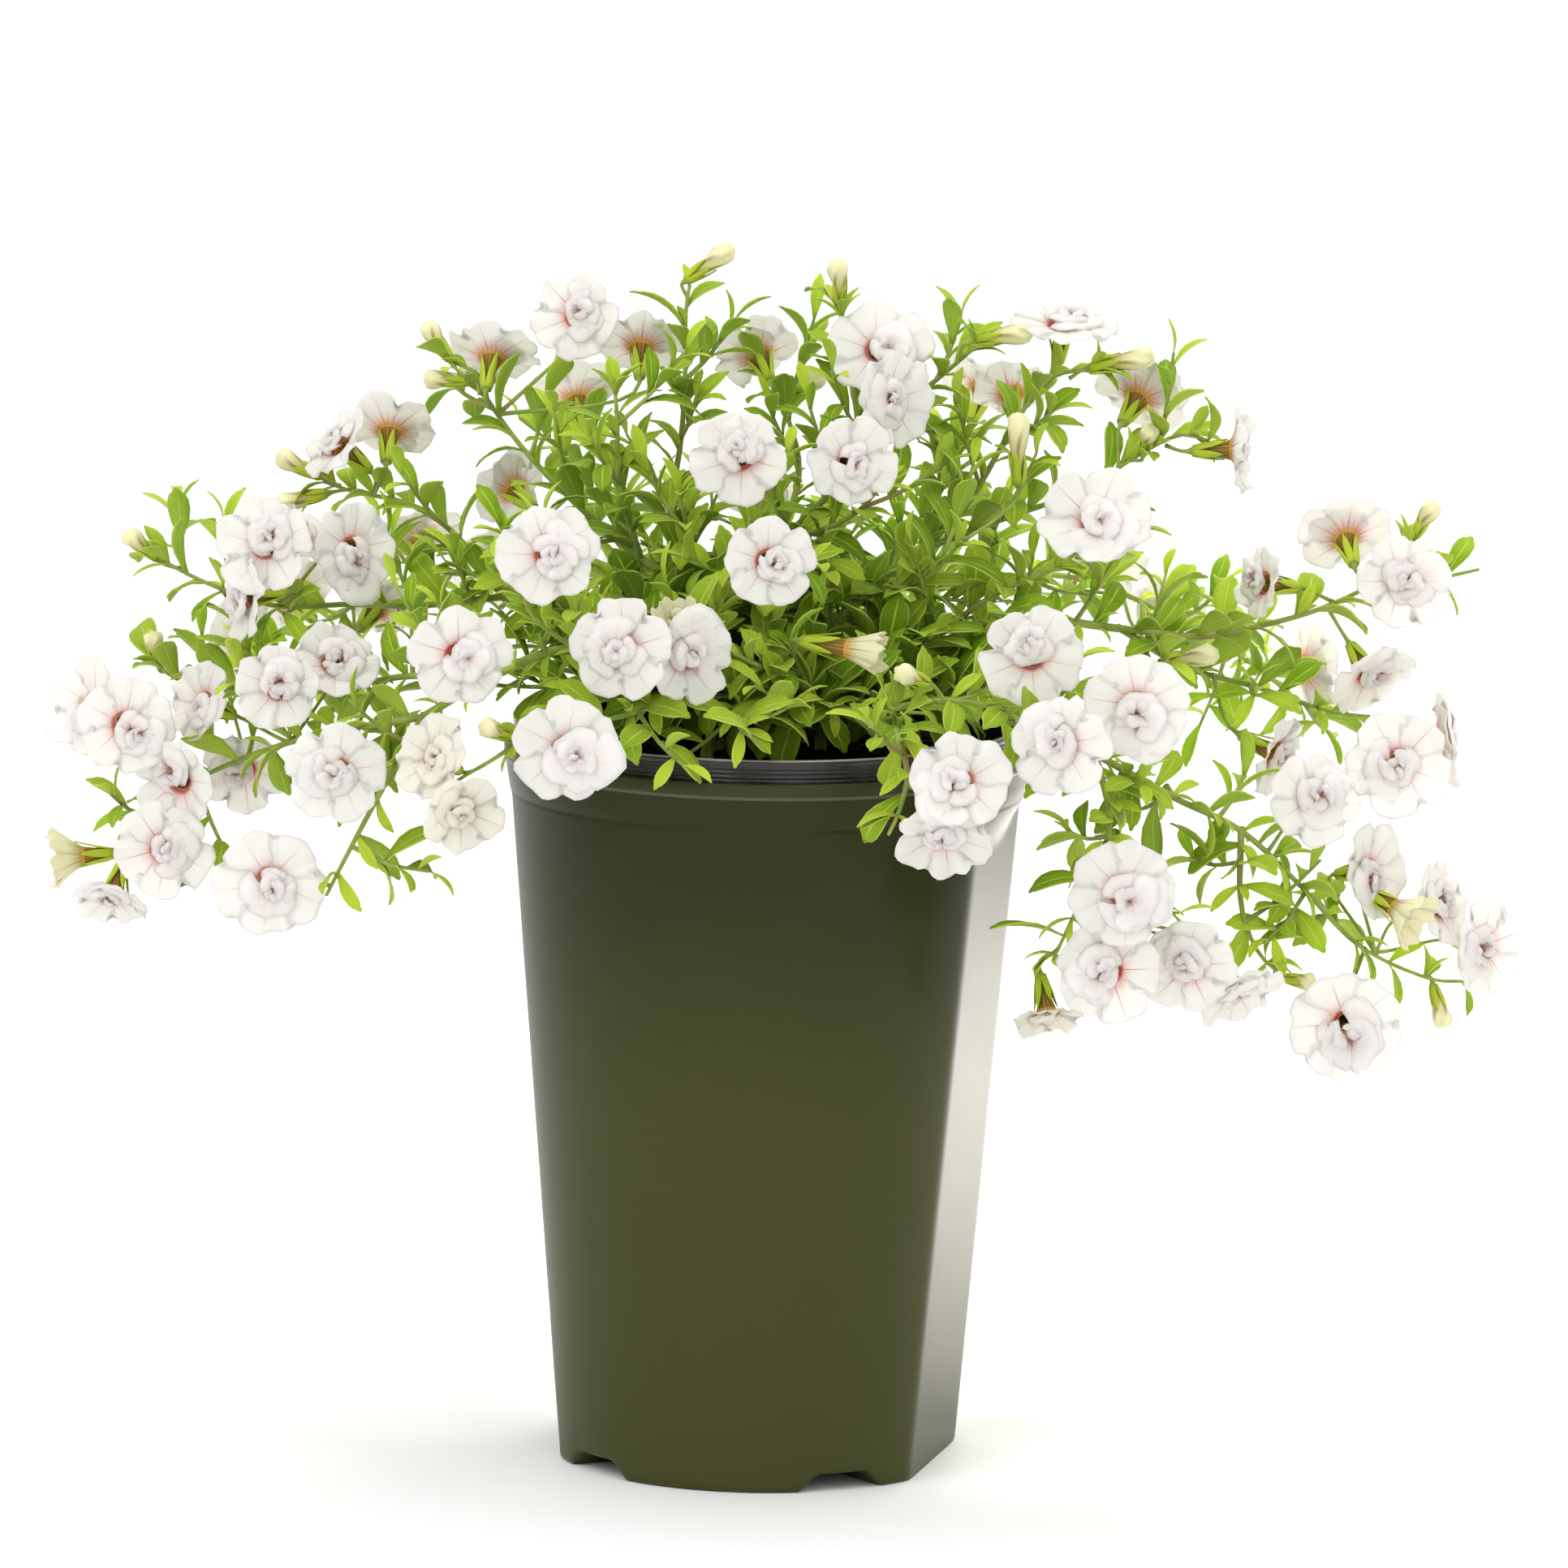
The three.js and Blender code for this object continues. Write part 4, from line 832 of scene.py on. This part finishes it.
# Short shoots fill the crown. Their leaves are long at the foot and vary; the last few, the tips, stand
# close about the end. All lean forward and up, and face partly along the shoot and partly up.
SIDE_HABIT = {"thick": 0.75, "steps": 6, "long": 19, "vary": 0.4, "tips": 1, "close": 0.3, "forward": 0.8,
              "lift": 0.35, "facing": (0.5, 0.8)}
LOW_HABIT = {"thick": 1.1, "steps": 10, "long": 26, "vary": 0.35, "tips": 2, "close": 0.35, "forward": 0.7,
             "lift": 0.3, "facing": (0.4, 0.9)}


def leafy_shoot(whole, points, sets, serial, thick, steps, long, vary, tips, close, forward, lift, facing):
    """A shoot on a curve through three points, with a leaf from each of the sets in turn."""
    shoot = Route(points, thick, thick)
    line = [shoot.smooth(i / steps) for i in range(steps + 1)]
    add(whole, painted(tube(line, [thick - 0.05 * i for i in range(steps + 1)], 6), 0))
    for i, shapes in enumerate(sets):
        u = 0.3 + 0.7 * i / (len(sets) - 1)
        ways = shoot.directions(u)
        spin = math.radians(LEAF_TURN * (i + serial))
        way = around(ways, spin, close if i >= len(sets) - tips else 1, forward, lift)
        face = ways[0] * facing[0] + UP * facing[1]
        length = (long - 8 * u) * (0.85 + vary * random(serial + i * 0.13))
        try_leaf(whole, shapes, shoot.smooth(u), way, face, length, serial + i)


def grow_side_shoots(whole, plant, routes):
    serial = SEEDS_EACH * list(PLANTS).index(plant) + 500
    for order, route in enumerate(routes):
        s = 20 if order == 0 else 10
        while s < route.length - 8:
            serial += 1
            root = route.smooth(s / route.length)
            way = around(route.directions(s / route.length), math.radians(serial * 99.0), 1, 0.4, 0.45)
            end = root + way * (16 + 16 * random(serial)) + UP * 3
            s += 17
            if in_the_way(end, 3) or in_the_way(root.lerp(end, 0.6), 2):
                continue
            points = [root, root.lerp(end, 0.5) - UP * 1.5, end]
            old = 3 + int(3 * random(serial + 0.4))
            leafy_shoot(whole, points, [LEAVES] * old + [YOUNG] * 2, serial, **SIDE_HABIT)


# Low shoots from the foot of each cutting cover the mix and lean out over the rim. Each row is the
# way it runs from the front, how far it comes from the axis, and the height of its end.
LOW_SHOOTS = {
    "stem_left_low": ((-62, 64, 222), (-80, 66, 224), (-98, 60, 230),
                      (-70, 48, 236), (-68, 80, 226), (-86, 82, 230)),
    "stem_left_high": ((-88, 50, 240), (-115, 58, 232), (-140, 60, 226), (-104, 76, 236)),
    "stem_top_left": ((-75, 38, 246), (-125, 46, 240)),
    "stem_top": ((-155, 50, 238), (160, 52, 236), (20, 40, 240)),
    "stem_top_right": ((62, 48, 240), (98, 58, 234), (128, 60, 228)),
    "stem_right": ((46, 60, 226), (66, 66, 224), (84, 66, 224), (56, 46, 238), (60, 80, 228), (78, 82, 228)),
    "stem_front": ((-50, 62, 224), (-34, 54, 228), (20, 50, 224), (34, 58, 226), (-42, 40, 238)),
    "stem_back": ((-160, 62, 224), (178, 64, 226), (150, 62, 228)),
}


def grow_low_shoots(whole, plant, routes):
    serial = SEEDS_EACH * list(PLANTS).index(plant) + 800
    start = routes[0].smooth(0.03)
    for round_about, reach, top in LOW_SHOOTS[plant]:
        serial += 1
        out = heading(round_about, 0)
        end = Vector((out.x * reach, out.y * reach, top))
        points = [start, start.lerp(end, 0.45) + UP * 5, end]
        sets = [LEAVES, DEEP, DEEP] * 2 + [LEAVES, DEEP]
        leafy_shoot(whole, points, sets, serial, **LOW_HABIT)


def leaf_green():
    finish = Finish("leaf_green")
    across, along, tone = finish.attribute("blade")
    off, t = abs(across), abs(along)
    x, y, _ = finish.place()
    outer = (x * x + y * y).math("SQRT").between(0.05, 0.15)
    shade = (tone + (finish.grain(90) - 0.5) * 0.7).math("ADD", outer * 0.12, clamp=True)
    blade = finish.mix(shade, (0.134, 0.250, 0.005), (0.520, 0.635, 0.050))
    rib = abs((t * 9.0 - off * 2.0).math("FRACT") - 0.5)
    side_vein = rib.between(0.09, 0.0) * off.between(1.0, 0.3)
    midrib = off.between(0.11, 0.03) * t.between(1.0, 0.7)
    blade = finish.mix(side_vein * 0.30, blade, (0.400, 0.520, 0.040))
    blade = finish.mix(midrib * 0.75, blade, (0.540, 0.640, 0.120))
    blade = finish.mix(off.between(0.90, 0.99) * 0.55, blade, (0.56, 0.66, 0.18))
    blade = finish.mix(t.between(0.14, 0.0) * 0.5, blade, (0.33, 0.46, 0.12))
    under = finish.mix(0.42, blade, (0.420, 0.510, 0.100))
    blade = finish.mix(along.between(0.0, -0.0005), blade, under)
    finish.relief((side_vein + midrib) * -1.0 + finish.grain(1500) * 0.4, 0.00025)
    return finish.done(blade, 0.62, 0.1, {
        "Sheen Weight": 0.02, "Sheen Roughness": 0.4, "Subsurface Weight": 0.3,
        "Subsurface Radius": (0.5, 1.0, 0.12), "Subsurface Scale": 0.0012})


# ---- The flower stalks, calyces and buds ---------------------------------------------------------
# A thin hairy stalk stands in the axil below each flower. It ends in a cup of five long pointed
# sepals round the tube. The buds are cream, ribbed and twisted, with dark stripes near their foot.
# A bud is its foot (x, y, z), its heading from the front, its lift, and its length.
BUDS_OF = {
    "stem_top_left": [(-24, 22, 336, 60, 35, 17), (-93, 32, 311, -120, 50, 12),
        (-88, 32, 304, -80, 5, 12)],
    "stem_top": [(19, 12, 331, -20, 75, 13), (57, 6, 321, 85, 12, 17), (4, 42, 300, 70, 30, 13)],
    "stem_top_right": [(91, 12, 313, 80, 14, 18), (70, -12, 284, -10, 80, 20), (106, 8, 290, 20, 60, 9)],
    "stem_left_high": [(-130, 28, 277, -95, 25, 13), (-128, 24, 272, -88, -14, 14),
        (-175, 0, 257, -80, 40, 11)],
    "stem_left_low": [(-174, 0, 227, -30, 70, 9)],
    "stem_right": [(184, 10, 267, 60, 60, 11), (112, -6, 231, 70, 14, 17), (190, -26, 142, 30, -60, 12),
        (147, -46, 148, 70, -5, 9)],
    "stem_front": [(44, -76, 236, -40, 20, 13), (-72, -90, 222, -50, 20, 10)],
}
BUDS = [(plant, *bud) for plant, buds in BUDS_OF.items() for bud in buds]
BUD_SEEDS = 200  # the buds draw their random numbers from here on


def place(foot, toward, roll):
    turn = UP.rotation_difference(toward).to_matrix().to_4x4()
    return Matrix.Translation(foot) @ turn @ Matrix.Rotation(roll, 4, "Z")


def sepal_mesh(length, width, flare):
    """One of five sepals, standing at +x round an axis that points to +z."""
    bm, mark = blank("blade")
    bmesh.ops.create_grid(bm, x_segments=2, y_segments=5, size=1)
    for v in bm.verts:
        across, t = v.co.x, (v.co.y + 1) / 2
        v[mark] = (across * 0.8, t, 0.75)
        half = width / 2 * (0.75 + 1.1 * t) * (1 - t ** 1.6) + 0.12
        r = 1.55 + 1.1 * math.sin(1.9 * t) + flare * t ** 2.5 - 0.18 * across * across
        v.co = (r, across * half, -1.2 + length * t)
    turn_faces(bm, 0)
    bmesh.ops.solidify(bm, geom=bm.faces[:], thickness=0.3)
    return painted(bm, 1)


SEPALS = [sepal_mesh(9.0 + i, 2.3, 0.4 + 0.7 * i) for i in range(4)]
BUD_SEPALS = [sepal_mesh(8.5, 2.0, -0.5), sepal_mesh(10.0, 2.2, 0.3)]


def draw_stalk(whole, start, foot, toward, shapes, seed, size=1.0):
    """A stalk from the stem to a flower's foot, its cup, and five sepals."""
    neck = foot - toward * 3
    span = (neck - start).length
    first, second = start.lerp(neck, 0.35) - Vector((0, 0, 0.03 * span)), neck - toward * 0.24 * span
    line = []
    for i in range(8):
        t = i / 7
        early = start * (1 - t) ** 3 + first * 3 * t * (1 - t) ** 2
        line.append(early + second * 3 * t * t * (1 - t) + neck * t ** 3)
    line += [foot - toward * 1.9, foot - toward * 0.9, foot + toward * 0.6, foot + toward * 1.2]
    radii = [0.72, 0.6, 0.55, 0.52, 0.5, 0.5, 0.55, 0.6, 0.95 * size, 1.45 * size, 1.7 * size, 1.2 * size]
    add(whole, painted(tube(line, radii), 0))
    fur(whole, line, radii, 0.4, 0.8, seed)
    for k in range(5):
        roll = 6.283 * random(seed) + math.radians(72 * k + 9 * random(seed + k))
        shape = shapes[int(len(shapes) * random(seed * 1.3 + k))]
        add(whole, shape.copy(), place(foot, toward, roll) @ Matrix.Scale(size, 4))


def draw_bud(whole, foot, toward, length, seed):
    wide = 0.75 + 0.25 * min(length / 16, 1)
    swells = ((1.3, 0.14), (1.6, 0.28), (2.0, 0.42), (2.5, 0.56), (2.85, 0.68), (3.0, 0.80), (2.7, 0.91),
              (1.5, 0.985))
    profile = [(0, -0.6), (0.9, -0.6), *((r, share * length) for r, share in swells), (0, length)]
    bm, mark = blank("blade")
    chain = [bm.verts.new((r * wide, 0, z)) for r, z in profile]
    for v in chain:
        v[mark] = (0, max(v.co.z, 0) / length, 0)
    turned(bm, chain, 20)
    for v in bm.verts:
        angle, t = math.atan2(v.co.y, v.co.x), v[mark].y
        v[mark] = (math.cos(5 * angle), t, 0)
        swell = 1 + 0.16 * t * math.cos(5 * angle)
        twist = 1.1 * t * t
        v.co = Matrix.Rotation(twist, 3, "Z") @ Vector((v.co.x * swell, v.co.y * swell, v.co.z))
    bmesh.ops.recalc_face_normals(bm, faces=bm.faces)
    add(whole, painted(bm, 2), place(foot, toward, 6.283 * random(seed)))


def bud_cream():
    finish = Finish("bud_cream")
    rib, t, _ = finish.attribute("blade")
    body = finish.mix(t.between(0.20, 0.90), (0.52, 0.48, 0.11), (0.82, 0.77, 0.46))
    body = finish.mix(t.between(0.85, 1.0) * 0.35, body, (0.55, 0.58, 0.20))
    stripe = rib.between(-0.1, 0.8) * t.between(0.86, 0.55)
    body = finish.mix(stripe * 0.62, body, (0.16, 0.050, 0.022))
    finish.relief(finish.grain(1800, 2), 0.0001)
    return finish.done(body, 0.55, others={"Sheen Weight": 0.2})


stem_finish, leaf_finish, bud_finish = stem_green(), leaf_green(), bud_cream()
routes_of = {plant: stem_routes(plant) for plant in PLANTS}
for plant in PLANTS:
    whole, _ = blank("blade")
    routes = routes_of[plant]
    draw_stems(whole, routes, PLANTS[plant][0])
    grow_leaves(whole, plant, routes)
    grow_side_shoots(whole, plant, routes)
    grow_low_shoots(whole, plant, routes)
    for i, (name, *_) in enumerate(BLOOMS):
        stem, *blooms = SPRAYS[name]
        if stem == plant and len(blooms) == 1:
            centre, toward, _ = FACES[i]
            foot = centre - toward * TUBE
            start = branch_point(foot - toward * 12, routes, 0.95)
            draw_stalk(whole, start, foot, toward, SEPALS, i + 1)
    for i, (stem, x, y, z, round_about, lift, length) in enumerate(BUDS):
        if stem == plant:
            foot, toward = Vector((x, y, z)), heading(round_about, lift)
            start = branch_point(foot - toward * 8, routes, 0.95)
            draw_stalk(whole, start, foot, toward, BUD_SEPALS, i + BUD_SEEDS, 0.6 + 0.022 * length)
            draw_bud(whole, foot, toward, length, i + BUD_SEEDS)
    bmesh.ops.transform(whole, matrix=METRES @ PLANT_TURN, verts=whole.verts)
    piece = finished(whole, plant + "_leafy", [stem_finish, leaf_finish, bud_finish])
    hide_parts(plant)


# ---- The blooms ----------------------------------------------------------------------------------
# Each corolla is one thin funnel with five broad ruffled lobes, a dark vein down each and a flush
# round its throat. A second set of petals is crumpled into a rosette that stands to one side. Blooms
# narrower than SMALL are young and yellower, and those narrower than HALF_OPEN have no rosette yet.
HALF_OPEN, SMALL = 13, 18
CREAM = ("cream", "funnel", "half_open")
LIMB_SHARES = (0.07, 0.16, 0.27, 0.4, 0.54, 0.68, 0.81, 0.92, 1.0)
# each ring of a rosette: its petals, their feet and reach from its middle, their span, and heights
YOUNG_ROSETTE = [(3, 0.5, 0.62, 1.0, (8.5, 13.6))]
FULL_ROSETTE = [(3, 1.0, 0.60, 1.15, (11.4, 13.9)), (3, 0.8, 0.48, 1.12, (11.8, 14.5)),
                (3, 0.5, 0.35, 1.05, (12.2, 15.0)), (2, 0.2, 0.23, 1.20, (12.8, 15.4))]


def thicken(bm, mark, thickness):
    """Gives a petal its thickness; the distance from the axis is kept negative on its back."""
    front = set(bm.verts)
    bmesh.ops.solidify(bm, geom=bm.faces[:], thickness=thickness)
    for v in bm.verts:
        if v not in front:
            v[mark] = (v[mark].x, -v[mark].y, v[mark].z)


def funnel(size):
    """The radius of a bloom's tube at a few heights, and how high the edge of its lobes stands."""
    if size < HALF_OPEN:
        return [(1.0, 0), (1.4, 3), (1.8, 6), (2.1, 9), (2.5, 12)], 22
    if size < SMALL:
        return [(1.0, 0), (1.4, 2.5), (1.8, 5), (2.2, 7.5)], 16.5
    return [(1.0, 0), (1.3, 2.2), (1.55, 4.4), (1.85, 6.4), (2.2, 8.2), (2.7, 9.8)], TUBE


def corolla(size, seed):
    """Its corners keep their angle in their lobe, their distance from the axis, and how far along
    they are: from -1 at the foot of the tube to 0 at its mouth and 1 at the edge."""
    tube_rings, top_z = funnel(size)
    base_r, base_z = tube_rings[-1]
    R = size / 2
    bm, mark = blank("petal")
    chain = []
    for i, (r, z) in enumerate(tube_rings):
        chain.append(bm.verts.new((r, 0, z)))
        chain[-1][mark] = (0, 0, -1 + i / (len(tube_rings) - 1))
    for s in LIMB_SHARES:
        chain.append(bm.verts.new((base_r + (R - base_r) * s, 0, base_z + 0.01 * s)))
        chain[-1][mark] = (0, 0, s)
    turned(bm, chain, 50, 0.0005)
    bowl = 1.6 * random(seed + 0.21) - 0.9
    for v in bm.verts:
        angle, s = math.atan2(v.co.y, v.co.x) % math.tau, v[mark].z
        k = int(angle / math.radians(72)) % 5
        a = angle - math.radians(72 * k + 36)
        edge = abs(a) / math.radians(36)
        r = math.hypot(v.co.x, v.co.y)
        if s > 0:
            own, near = random(seed + 0.37 * k), random(seed * 1.7 + 2 * k + 1)
            reach = R * (1.02 + 0.11 * (own - 0.5) - (0.07 + 0.15 * near) * edge ** (3 + 3 * own))
            reach -= R * (0.08 * own - 0.03) * math.exp(-((a - 0.2 * near + 0.1) / 0.09) ** 2)
            reach += R * (0.028 * math.sin(7 * angle + 6 * own) + 0.013 * math.sin(17 * angle + 9 * near))
            r = base_r + (reach - base_r) * s
            z = base_z + (top_z - base_z) * s ** (0.85 if size < SMALL else 0.62)
            z += bowl * s * s + (3.6 * near - 1.7) * s * s * (1 - edge ** 2)
            z -= 0.6 * s * edge ** 3 - 0.7 * s * (a / 0.63) ** 3
            frill = 0.85 * math.sin(7 * angle + 9 * own) * (1 - edge ** 4)
            z += s ** 2.5 * (frill + 0.50 * math.sin(13 * angle + seed))
            z -= 1.6 * max(0, own - 0.55) * s ** 6
            v.co.z = z
        v.co.x, v.co.y = r * math.cos(angle), r * math.sin(angle)
        v[mark] = (a, r, s)
    turn_faces(bm, 2)
    thicken(bm, mark, 0.28)
    return bm


def rosette_petal(middle, reach, span, heights, fold, seed):
    """A crumpled petal, spread over an angle round its foot; reach and heights at foot and edge."""
    bm, mark = blank("petal")
    bmesh.ops.create_grid(bm, x_segments=8, y_segments=6, size=1)
    foot_r, edge_r = reach
    notch = 0.16 * random(seed + 0.5)
    split = 0.8 * random(seed + 0.7) - 0.4
    for v in bm.verts:
        u, t = v.co.x, (v.co.y + 1) / 2
        wave = math.sin(3.1 * u + 6 * random(seed)) * 0.10 + math.sin(7.3 * u + 6 * random(seed + 1)) * 0.05
        out = 1 - 0.24 * abs(u) ** 3 - notch * math.exp(-((u - split) / 0.25) ** 2) + 0.7 * wave * t
        out = foot_r + (edge_r - foot_r) * t * out
        turn = middle + span * u * (0.55 + 0.45 * t ** 0.7) + 0.12 * fold * t * t
        z = heights[0] + (heights[1] - heights[0]) * (1 - (1 - t) ** 3.2)
        z += t * (4.0 * wave * t + fold * (abs(u) - 0.45)) - 1.4 * t ** 4 - 0.9 * t * u ** 4
        z += 0.22 * t * math.sin(11 * u + 4 * t + seed)
        v.co = (out * math.cos(turn), out * math.sin(turn), z)
        v[mark] = (u, out, 2 + t)
    turn_faces(bm, 2)
    thicken(bm, mark, 0.22)
    return bm


def rosette(whole, size, seed, matrix, tint):
    """Rings of crumpled petals; the rosette stands aside, so that the throat shows beside it."""
    if size < HALF_OPEN:
        return
    R = size / 2
    if size < SMALL:
        rings, big, aside = YOUNG_ROSETTE, 1.0, 0.0
    else:
        rings, big = FULL_ROSETTE, 0.85 + 0.32 * random(seed + 0.6)
        aside = R * (0.10 + 0.17 * random(seed + 0.9))
    for ring, (count, foot, share, span, (low, high)) in enumerate(rings):
        for k in range(count):
            n = seed * 3.1 + 17 * ring + k
            middle = math.tau * (k + 0.5 * (ring % 2) + 0.5 * random(n)) / count
            reach = share * R * big * (0.74 + 0.46 * random(n + 0.2)) * (1 + 0.27 * math.cos(middle))
            top = high + 0.9 * random(n + 0.4) - 0.45
            wide = span * (0.8 + 0.4 * random(n + 0.6))
            petal = rosette_petal(middle, (foot, reach), wide, (low, top), 1.6 * random(n + 0.8) - 0.9, n)
            way = math.tau * random(n + 1.1)
            shift = Vector((math.cos(way), math.sin(way), 0)) * 0.075 * R * (1 if ring else 0.4)
            tilt = (0.34 * random(n + 1.3) - 0.10) * (ring > 0)
            lean = Matrix.Rotation(tilt, 4, Vector((-shift.y, shift.x, 0.001)))
            pivot = Matrix.Translation(Vector((aside, 0, 12.5)) + shift) @ lean
            add(whole, painted(petal, tint), matrix @ (pivot @ Matrix.Translation((0, 0, -12.5))))


def petal_finish(name, white, back, rose, blush, flush, vein):
    finish = Finish(name)
    side, reach, s = finish.attribute("petal")
    cloud = finish.grain(160, 2)
    vivid = finish.grain(22, 1).between(0.38, 0.62)
    angle, r = abs(side), abs(reach)
    off = angle * r
    on_limb = s.between(0.001, 0.03) * s.between(1.5, 1.2)
    flush_edge = s + (cloud - 0.5) * 0.10
    strength = vivid * 0.36 + 0.34

    # the face: thin veins, a faint halo, and a crimson ring at the throat
    body = finish.mix(cloud.between(0.3, 0.75), white, tuple(c * 0.965 for c in white))
    main = off.between(0.19, 0.05) * s.between(1.10, 0.20)
    fan = (angle.zigzag(0.105) * r).between(0.12, 0.03) * s.between(0.36, 0.04)
    lines = on_limb * main.math("MAXIMUM", fan * 0.5)
    halo = on_limb * flush_edge.between(0.40, 0.05) * (vivid * 0.40 + 0.08)
    ring = on_limb * flush_edge.between(0.16, 0.05) * (vivid * 0.4 + 0.60)
    body = finish.mix(halo, body, blush)
    body = finish.mix(lines * strength, body, vein)
    body = finish.mix(ring, body, (0.72, 0.090, 0.085))

    # the back: a flush that rays out of the yellow tube, and a stronger vein down each lobe
    ray = (angle.zigzag(0.155) * r).between(0.55, 0.05) * 0.50 + 0.35
    spine = off.between(0.24, 0.06) * s.between(1.05, 0.10)
    outer = finish.mix(flush_edge.between(0.50, 0.04) * ray, back, flush)
    outer = finish.mix(spine * strength, outer, vein)
    outer = finish.mix(s.between(0.22, 0.03) * 0.85, outer, (0.86, 0.58, 0.11))
    body = finish.mix(reach.between(0.0, -0.001), body, outer)

    # the tube: yellow, with dark stripes
    gullet = finish.mix(s.between(-0.75, 0.0), (0.47, 0.45, 0.10), (0.64, 0.42, 0.09))
    dark = (angle.zigzag(0.21) * r).between(0.42, 0.12)
    gullet = finish.mix(dark * 0.55, gullet, (0.22, 0.06, 0.02))
    body = finish.mix(s.between(0.02, -0.02), body, gullet)

    # the rosette, pinker and a little darker towards its petals' feet: partly the flower's own blush, partly
    # painted shade in its folds
    blush_and_fold_shade = tuple(0.87 * p + 0.13 * q for p, q in zip(rose, blush))
    fold = finish.mix(s.between(2.85, 2.20), rose, blush_and_fold_shade)
    fold = finish.mix(s.between(2.35, 2.0) * 0.35, fold, (0.95, 0.56, 0.42))
    streak = angle.zigzag(0.28).between(0.040, 0.008) * s.between(2.9, 2.3)
    fold = finish.mix(streak * (vivid * 0.3), fold, (0.72, 0.25, 0.20))
    body = finish.mix(s.between(1.5, 1.9), body, fold)

    crease = on_limb * (off.between(0.9, 0.0) * -0.5)
    finish.relief(crease + finish.grain(420) * 0.6 + angle.zigzag(0.06) * 5.0, 0.00035)
    finish.lit_through(body, 0.5)
    return finish.done(body, 0.65, 0.12)


# The backs of the white and cream blooms, and every rosette, take a lighter white than the face: painted
# light that offsets the shade they stand in.
petal_white = petal_finish("petal_white", (0.960, 0.946, 0.925), (0.98, 0.955, 0.935), (0.995, 0.980, 0.965),
                           (0.95, 0.62, 0.58), (0.94, 0.38, 0.34), (0.60, 0.13, 0.14))
petal_primrose = petal_finish("petal_primrose", (0.94, 0.92, 0.72), (0.94, 0.92, 0.70), (0.96, 0.94, 0.76),
                              (0.88, 0.74, 0.42), (0.66, 0.54, 0.12), (0.38, 0.17, 0.05))
petal_cream = petal_finish("petal_cream", (0.960, 0.940, 0.870), (0.98, 0.95, 0.87), (0.985, 0.955, 0.890),
                           (0.92, 0.70, 0.50), (0.74, 0.42, 0.18), (0.46, 0.15, 0.06))


def make_bloom(name):
    """The blooms of one name, with their stalks where they are several."""
    whole, *_ = blank("blade", "petal")
    grown = [i for i, row in enumerate(BLOOMS) if row[0] == name]
    feet = [FACES[i][0] - FACES[i][1] * TUBE for i in grown]
    start = branch_point(sum(feet, Vector()) / len(feet), routes_of[SPRAYS[name][0]], 1)
    for i, foot in zip(grown, feet):
        size, seed, toward = BLOOMS[i][-1], i + 1, FACES[i][1]
        stand = place(foot, toward, 6.283 * random(seed))
        tint = 3 if size < SMALL else 0
        add(whole, painted(corolla(size, seed), tint), stand)
        rosette(whole, size, seed, stand, tint)
        if len(grown) > 1:
            green, _ = blank("blade")
            draw_stalk(green, start, foot, toward, SEPALS, seed)
            for face in green.faces:
                face.material_index += 1
            add(whole, as_mesh(green))
    bmesh.ops.transform(whole, matrix=METRES @ PLANT_TURN, verts=whole.verts)
    cream = any(word in name for word in CREAM)
    finish = petal_cream if cream else petal_white
    piece = finished(whole, name + "_petals", [finish, stem_finish, leaf_finish, petal_primrose])
    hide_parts(name)


for name in SPRAYS:
    make_bloom(name)


# ---- Floor, light and camera ---------------------------------------------------------------------
# A plain white floor and sky under soft lamps, and a long lens far away, a little above the pot.
ground = bmesh.new()
bmesh.ops.create_grid(ground, x_segments=1, y_segments=1, size=9)
floor = bpy.data.objects.new("floor", as_mesh(ground, "floor"))
floor.data.materials.append(Finish("white_floor").done((0.93, 0.93, 0.93), 0.9))
bpy.context.scene.collection.objects.link(floor)


def soft_lamp(name, place, aim, size, power, colour=(1, 1, 1), spread=180):
    lamp = bpy.data.lights.new(name, "AREA")
    lamp.shape = "DISK"
    lamp.size = size
    lamp.energy = power
    lamp.color = colour
    lamp.spread = math.radians(spread)
    made = bpy.data.objects.new(name, lamp)
    made.location = place
    made.rotation_euler = (Vector(aim) - Vector(place)).to_track_quat("-Z", "Y").to_euler()
    bpy.context.scene.collection.objects.link(made)


soft_lamp("key", (-1.0, -1.8, 2.0), (0, 0, 0.22), 1.5, 13.0)
soft_lamp("fill", (1.8, -1.5, 1.2), (0, 0, 0.2), 1.8, 2.0)
soft_lamp("over", (0.1, 0.1, 2.4), (0, 0, 0.2), 1.6, 7)
soft_lamp("back_floor", (0.17, 0.66, 1.30), (0.14, 0.50, 0), 0.5, 4.0, (1, 0.94, 0.85), 40)

world = bpy.data.worlds.new("white_room")
world.use_nodes = True
world.node_tree.nodes["Background"].inputs[0].default_value = (1, 1, 1, 1)
world.node_tree.nodes["Background"].inputs[1].default_value = 1.11
bpy.context.scene.world = world
bpy.context.scene.view_settings.view_transform = "Standard"

camera = bpy.data.objects.new("camera", bpy.data.cameras.new("camera"))
camera.data.sensor_width = 36
camera.data.lens = 299.25
camera.data.clip_end = 60
camera.location = (0.8908, -3.5530, 0.818)
pan, pitch, roll = (Matrix.Rotation(math.radians(turn), 4, axis)
                    for turn, axis in ((14, "Z"), (80.33, "X"), (0.78, "Z")))
camera.matrix_world = Matrix.Translation(camera.location) @ pan @ pitch @ roll
bpy.context.scene.collection.objects.link(camera)
bpy.context.scene.camera = camera
